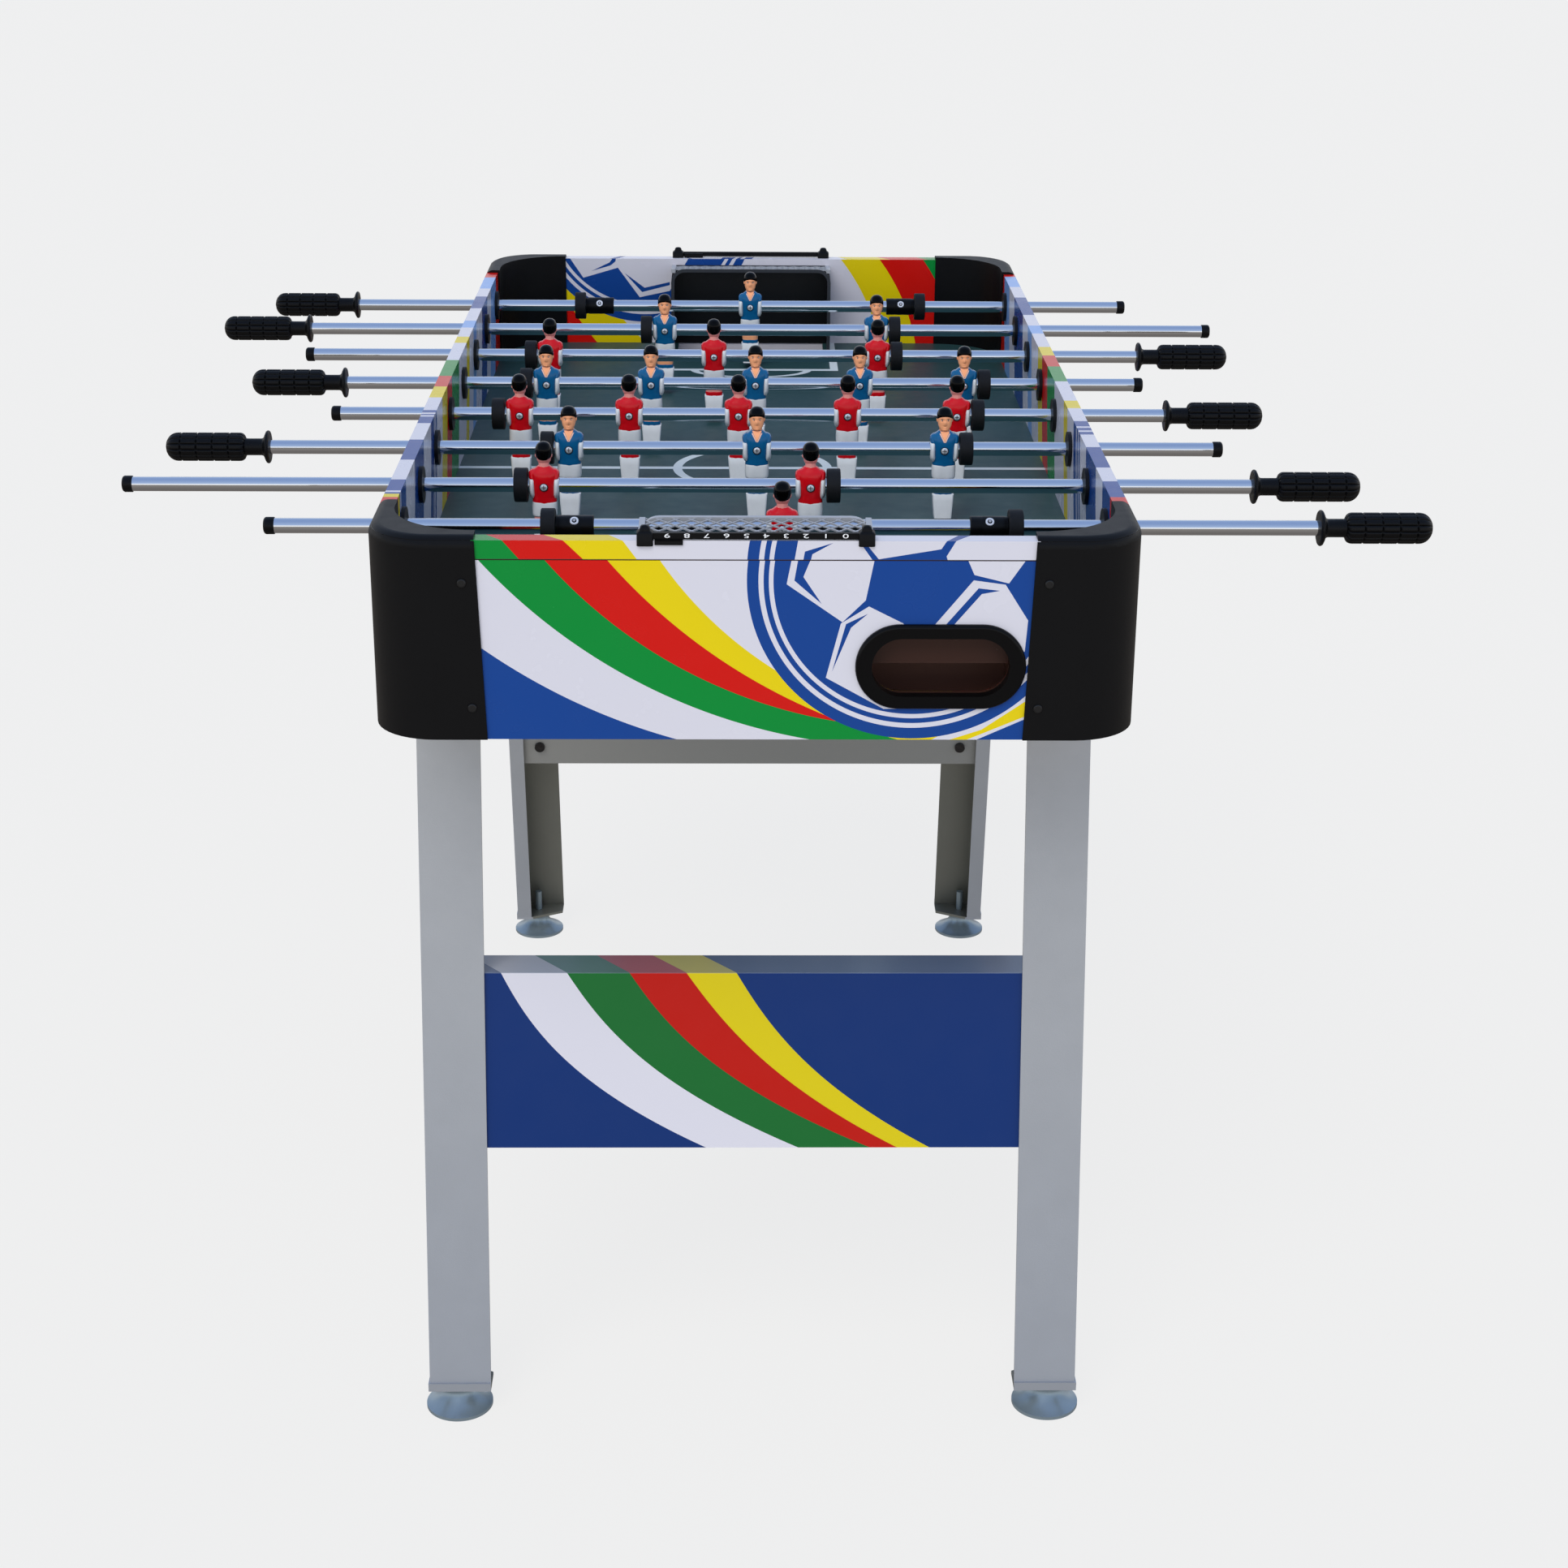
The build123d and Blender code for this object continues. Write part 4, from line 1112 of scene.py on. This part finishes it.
def clipped(start, end, low_x, high_x, low_y, high_y):
    """The stretch of a level line inside a rectangle, or None."""
    (x0, y0), (x1, y1) = start, end
    first, last = 0.0, 1.0
    spans = ((x1 - x0, low_x - x0, high_x - x0), (y1 - y0, low_y - y0, high_y - y0))
    for move, gap_low, gap_high in spans:
        a, b = sorted((gap_low / move, gap_high / move))
        first, last = max(first, a), min(last, b)
    if last - first < 0.02:
        return None
    return [(x0 + (x1 - x0) * t, y0 + (y1 - y0) * t) for t in (first, last)]


def goal_shape():
    """The goal liner at the back end: rim, side walls, dark back wall and the mesh roof."""
    shape = Shape()
    half = GOAL_HIGH.x
    lip_y, wall_y = GOAL_LOW.y, GOAL_HIGH.y
    lip_z = GOAL_HIGH.z

    def roof_z(y):
        return lip_z - ROOF_FALL * (y - lip_y) / (wall_y - lip_y)

    y_rim = lip_y + RIM_DEPTH
    arch_shell(shape, half, lip_y, y_rim, lip_z, roof_z(y_rim), RIM_CORNER, RIM_WIDTH, 0)
    for side in (-1, 1):
        low_x, high_x = sorted((side * (half - 0.4), side * (half - 2.8)))
        shape.block((low_x, y_rim, FIELD_Z), (high_x, wall_y, roof_z(wall_y) - 6), 1)
        edge = side * (half - 2.6)
        shape.strut(
            (edge, y_rim - 1, roof_z(y_rim) - 2.4), (edge, wall_y, roof_z(wall_y) - 2.4),
            Vector((2.4, 0, 0)), Vector((0, 0, 2.2)), 2,
        )
    shape.block((-half + 1, wall_y - 1.4, FIELD_Z + 0.2), (half - 1, wall_y - 0.1, roof_z(wall_y) - 3), 1)
    shape.strut(
        (-half + 2, wall_y - 2.2, roof_z(wall_y) - 2.2), (half - 2, wall_y - 2.2, roof_z(wall_y) - 2.2),
        Vector((0, 2.2, 0)), Vector((0, 0, 2.0)), 0,
    )
    low_x, high_x = -half + RIM_WIDTH, half - RIM_WIDTH
    low_y, high_y = y_rim - 0.5, wall_y - 3
    reach = high_y - low_y
    run = reach * MESH_PITCH_X / MESH_PITCH_Y
    count = int((high_x - low_x + 2 * run) / MESH_PITCH_X) + 2
    for lean in (-1, 1):
        for i in range(count):
            x = low_x - run + i * MESH_PITCH_X
            start, end = ((x, low_y), (x + run, high_y)) if lean > 0 else ((x + run, low_y), (x, high_y))
            piece = clipped(start, end, low_x, high_x, low_y - 1, high_y + 1)
            if piece is None:
                continue
            (xa, ya), (xb, yb) = piece
            across = Vector((ya - yb, xb - xa, 0)).normalized() * MESH_BAR
            ends = [(px, py, roof_z(py) - MESH_SINK) for px, py in piece]
            shape.strut(*ends, across, Vector((0, 0, MESH_BAR)), 2)
    return shape


def build_goals():
    """Both goals."""
    grey = moulded("goal_grey", ink(46, 49, 54), 0.4, 0.8, 0.04)
    pale = moulded("goal_mesh", ink(160, 163, 168), 0.34, 0.8, 0.04)
    for name, end in ENDS.items():
        shape = goal_shape().moved(half_turn(end))
        rim = grey if end > 0 else pale
        shape.build(f"goal_liner_{name}", "table", [rim, soot, pale], "black_plastic", [f"goal_{name}"])


# ---------------- scorers
DIGIT_PITCH = 15.37
DIGIT_ZERO_X = 69.5  # the 0, counted to the right of the middle as seen from outside
DIGIT_SIZE = 4.9
DIGIT_WIDEN = 2.1
BAR_Y = (END_FACE - 5.0, END_FACE - 0.5)
BAR_Z = (BOX_TOP + 1.0, BOX_TOP + 6.0)
POST_WIDTH = 13.0
POST_OUT = 1.6  # past the end of the CAD's bar
POST_KEYS = (  # height over the board's edge, share of the width
    (-4.0, 1.0), (5.6, 1.0), (6.6, 0.9), (7.6, 0.66), (9.6, 0.58), (11.0, 0.44), (11.6, 0.16),
)
MARKER_BLOCKS = (  # Y from and to, and height over the board's edge from and to
    (BAR_Y[0] - 4.4, BAR_Y[0] - 0.4, 0.7, 5.0),
    (BAR_Y[0] - 4.0, END_FACE + 1.6, 0.2, 0.8),
    (END_FACE + 0.4, END_FACE + 1.6, -3.2, 0.6),
)


def build_scorers():
    """The bar between two domed posts, and the marker that hooks under and behind it."""
    for name, end in ENDS.items():
        bar_low, bar_high = box_mm(f"scorer_bar_{name}")
        low, high = box_mm(f"scorer_slider_{name}")
        shape = Shape()
        middle = abs(bar_low.y + bar_high.y) / 2
        depth = bar_high.y - bar_low.y
        for side in (-1, 1):
            shift = Vector((side * (bar_high.x - POST_WIDTH / 2 + POST_OUT), 0, 0))
            rings = []
            for up, share in POST_KEYS:
                ring = oval(POST_WIDTH * share, depth * share, BOX_TOP + up, middle, 6.0, 28)
                rings.append([p + shift for p in ring])
            shape.rings(rings, 0)
        reach = bar_high.x - POST_WIDTH / 2
        (y0, y1), (z0, z1) = BAR_Y, BAR_Z
        ends = [(x, (y0 + y1) / 2, (z0 + z1) / 2) for x in (-reach, reach)]
        shape.strut(*ends, Vector((0, (y1 - y0) / 2, 0)), Vector((0, 0, (z1 - z0) / 2)), 0)
        turned = shape.moved(half_turn(end))
        replaced = [f"scorer_bar_{name}"]
        turned.build(f"scorer_rail_{name}", "table", [black_plastic], "black_plastic", replaced)
        marker = Shape()
        x0, x1 = (low.x, high.x) if end > 0 else (-high.x, -low.x)
        for near, far, low_z, high_z in MARKER_BLOCKS:
            marker.block((x0, near, BOX_TOP + low_z), (x1, far, BOX_TOP + high_z), 0)
        turned = marker.moved(half_turn(end))
        turned.build(
            f"scorer_marker_{name}", f"scorer_slider_{name}", [black_plastic], "black_plastic",
            [f"scorer_slider_{name}"],
        )


FLANGE_LOW = 6.2  # width of a cap's front edge at the box's bottom
FLANGE_TOP = 0.6


def build_cap_flanges():
    """The caps' front edges, which spread a little toward the box's bottom."""
    shape = Shape()
    top = BOX_TOP - 0.5
    edge = ((0, BOX_LOW), (FLANGE_LOW, BOX_LOW), (FLANGE_TOP, top), (0, top))
    for end in (-1, 1):
        for side in (-1, 1):
            rings = []
            for y in (END_FACE - 0.1, END_FACE + CAP_WALL):
                rings.append([(side * (CAP_EDGE - reach), end * y, z) for reach, z in edge])
            shape.rings(rings, 0)
    shape.build("cap_flanges", "table", [black_plastic], "black_plastic")


def build_digits():
    """The numbers 0 to 9 along each bar, read from inside the table."""
    paint = gloss_paint("digit_white", ink(228, 230, 232), 0.35, 0.1)
    for name, end in ENDS.items():
        bar_z = sum(BAR_Z) / 2 + 0.6
        for number in range(10):
            curve = bpy.data.curves.new(f"digit_{name}_{number}", "FONT")
            curve.body = str(number)
            curve.align_x = curve.align_y = "CENTER"
            curve.size = DIGIT_SIZE * MM
            curve.extrude = 0.12 * MM
            text = put(curve.name, curve)
            bpy.context.view_layer.update()
            evaluated = text.evaluated_get(bpy.context.evaluated_depsgraph_get())
            mesh = bpy.data.meshes.new_from_object(evaluated)
            bpy.data.objects.remove(text)
            piece = put(f"digit_{name}_{number}", mesh)
            finish_mesh(mesh, paint)
            x = -end * (DIGIT_ZERO_X - DIGIT_PITCH * number)
            upright = Matrix.Rotation(pi, 4, "Y") @ Matrix.Rotation(pi / 2, 4, "X")
            place = Matrix.Translation(Vector((x, end * (BAR_Y[1] + 0.1), bar_z)) * MM)
            mesh.transform(Matrix.Diagonal((DIGIT_WIDEN, 1, 1, 1)))
            piece.matrix_world = place @ half_turn(-end) @ upright
            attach(piece, "table")


# ---------------- shared finishes
black_plastic = moulded("black_plastic", ink(11, 11, 12), 0.46, 0.7, 0.05, specular=0.17)
grip_plastic = moulded("grip_plastic", ink(5, 5, 6), 0.4, 0.6, 0.04, specular=0.2)
soot = moulded("soot_plastic", ink(12, 12, 13), 0.5, 0.8, 0.04)
trough_brown = moulded("trough_brown", ink(92, 61, 50), 0.45)
shaded_coat = powder_coat()
bright_steel = finish(  # cloudy zinc plate
    "bright_steel", ink(224, 226, 230), (4, 0.1), ((2, 3.0), 0.26, 0.46), (0.5, 2.0), 0.01, metal=0.55)
chromed = finish(  # faint grain drawn along the tube, small changes of polish
    "chrome", ink(226, 230, 236), (90, 0.03), ((9, 3.0, (30, 1, 1)), 0.05, 0.13),
    (0.8, 2.0, (60, 1, 1)), 0.006, metal=1.0)
foot_grey = finish(  # satin blue-grey zinc with turning marks round the stem
    "satin_zinc", ink(140, 156, 166), (14, 0.06), ((6, 3.0), 0.24, 0.4),
    (0.8, 2.0, (20, 20, 1)), 0.015, metal=0.6)
bumper_rubber = finish(  # a faint moulding haze
    "rubber", ink(19, 19, 20), (12, 0.18), ((5, 3.0), 0.52, 0.74), (0.9, 3.0), 0.06, specular=0.3)
raw_board = finish(  # short dark fibres
    "raw_board", ink(150, 132, 108), (2.2, 0.12), ((8, 3.0), 0.62, 0.8), (0.9, 4.0, (3, 1, 1)), 0.08)


def finish_node(name, material):
    """Give a CAD node one material."""
    finish_mesh(nodes[name].data, material)


def finish_frame():
    """Materials of the CAD nodes that stay in view."""
    cup = return_cup()
    for name, end in ENDS.items():
        finish_node(f"end_panel_{name}", end_board(name, end))
        finish_node(f"stretcher_{name}", stretcher_board(name, end))
        finish_node(f"return_cup_{name}", cup)
    for name, stops in (("left", LEFT_BANDS), ("right", RIGHT_BANDS)):
        finish_node(f"side_panel_{name}", side_board(name, stops))
    for name, material in (
        ("playfield", playing_field()), ("field_battens", raw_board), ("ball_chutes", trough_brown),
        ("corner_caps", black_plastic), ("rod_bushings", soot), ("fasteners", screws_finish()),
    ):
        finish_node(name, material)
    for side in ("left", "right"):
        for name in ENDS:
            finish_node(f"leg_{name}_{side}", shaded_coat)
            finish_node(f"leveller_{name}_{side}", foot_grey)
    for rod in RODS:
        finish_node(f"rod_{rod}_tube", chromed)
        finish_node(f"rod_{rod}_bumpers", bumper_rubber)


# ---------------- studio
LENS_MM = 62.25
CAMERA_PLACE = Vector((-0.01245, -2.62935, 1.42802))
CAMERA_YAW = 0.8809  # degrees to the right of +Y
CAMERA_PITCH = 21.3101  # degrees down
CAMERA_ROLL = -0.38
CAMERA_SHIFT = 0.0035


def build_camera():
    """The camera at the photograph's viewing angle."""
    yaw, pitch, roll = radians(CAMERA_YAW), radians(CAMERA_PITCH), radians(CAMERA_ROLL)
    forward = Vector((sin(yaw) * cos(pitch), cos(yaw) * cos(pitch), -sin(pitch)))
    level = Vector((cos(yaw), -sin(yaw), 0))
    down = forward.cross(level)
    right = cos(roll) * level + sin(roll) * down
    under = -sin(roll) * level + cos(roll) * down
    data = bpy.data.cameras.new("camera")
    data.lens = LENS_MM
    data.sensor_width = 36.0
    data.shift_x = CAMERA_SHIFT
    data.clip_end = 100.0
    camera = put("camera", data)
    turn = Matrix((right, -under, -forward)).transposed()
    camera.matrix_world = Matrix.Translation(CAMERA_PLACE) @ turn.to_4x4()
    bpy.context.scene.camera = camera


FLOOR_COLOR = (0.07, 0.067, 0.060, 1.0)
FLOOR_GLOW = 0.80
FLOOR_HALF = 40.0  # metres
SKY_STRENGTH = 0.9
KEY_STRENGTH = 1.9
KEY_COLOR = (1.0, 0.95, 0.87)
KEY_SPREAD = 40  # degrees across the sun's disc, for soft shadows
KEY_TILT = 40  # degrees from straight down
KEY_TURN = -20
SKY_KEYS = (  # height from -1 to 1, colour of the light from there
    (-1.0, (0.20, 0.18, 0.165)),
    (-0.05, (0.34, 0.31, 0.28)),
    (0.0, (1.2, 1.2, 1.2)),
    (0.22, (1.2, 1.2, 1.2)),
    (0.34, (0.52, 0.66, 0.92)),
    (1.0, (0.30, 0.43, 0.74)),
)


def build_studio():
    """A pale floor, an even pale sky and one soft key light."""
    graph = Graph("studio_floor", rough=0.9, specular=0.0)
    graph.mottle(FLOOR_COLOR, 900, 0.004)
    graph.look("Emission Color", (1, 1, 1, 1))
    graph.look("Emission Strength", FLOOR_GLOW)
    mesh = bpy.data.meshes.new("floor")
    corners = [(x * FLOOR_HALF, y * FLOOR_HALF, 0) for x, y in ((-1, -1), (1, -1), (1, 1), (-1, 1))]
    mesh.from_pydata(corners, [], [(0, 1, 2, 3)])
    mesh.materials.append(graph.material)
    floor = put("floor", mesh)
    floor.visible_glossy = False
    world = bpy.data.worlds.new("studio")
    bpy.context.scene.world = world
    world.use_nodes = True
    sky = Nodes(world.node_tree)
    height = sky.node("SeparateXYZ", [sky.node("TexCoord")["Generated"]])[2]
    share = sky.node("MapRange", {"Value": height, "From Min": -1.0})[0]
    background = sky.tree.nodes["Background"].inputs
    stops = [((level + 1) / 2, (*tint, 1)) for level, tint in SKY_KEYS]
    sky.feed(background["Color"], sky.ramp(share, stops))
    sky.feed(background["Strength"], SKY_STRENGTH)
    key = bpy.data.lights.new("key", "SUN")
    key.energy = KEY_STRENGTH
    key.color = KEY_COLOR
    key.angle = radians(KEY_SPREAD)
    lamp = put("key", key)
    lamp.rotation_euler = (radians(KEY_TILT), 0, radians(KEY_TURN))
    lamp.visible_glossy = False
    bpy.context.scene.view_settings.view_transform = "Standard"


finish_frame()
build_men()
build_fittings()
build_goals()
build_scorers()
build_cap_flanges()
build_digits()
build_camera()
build_studio()
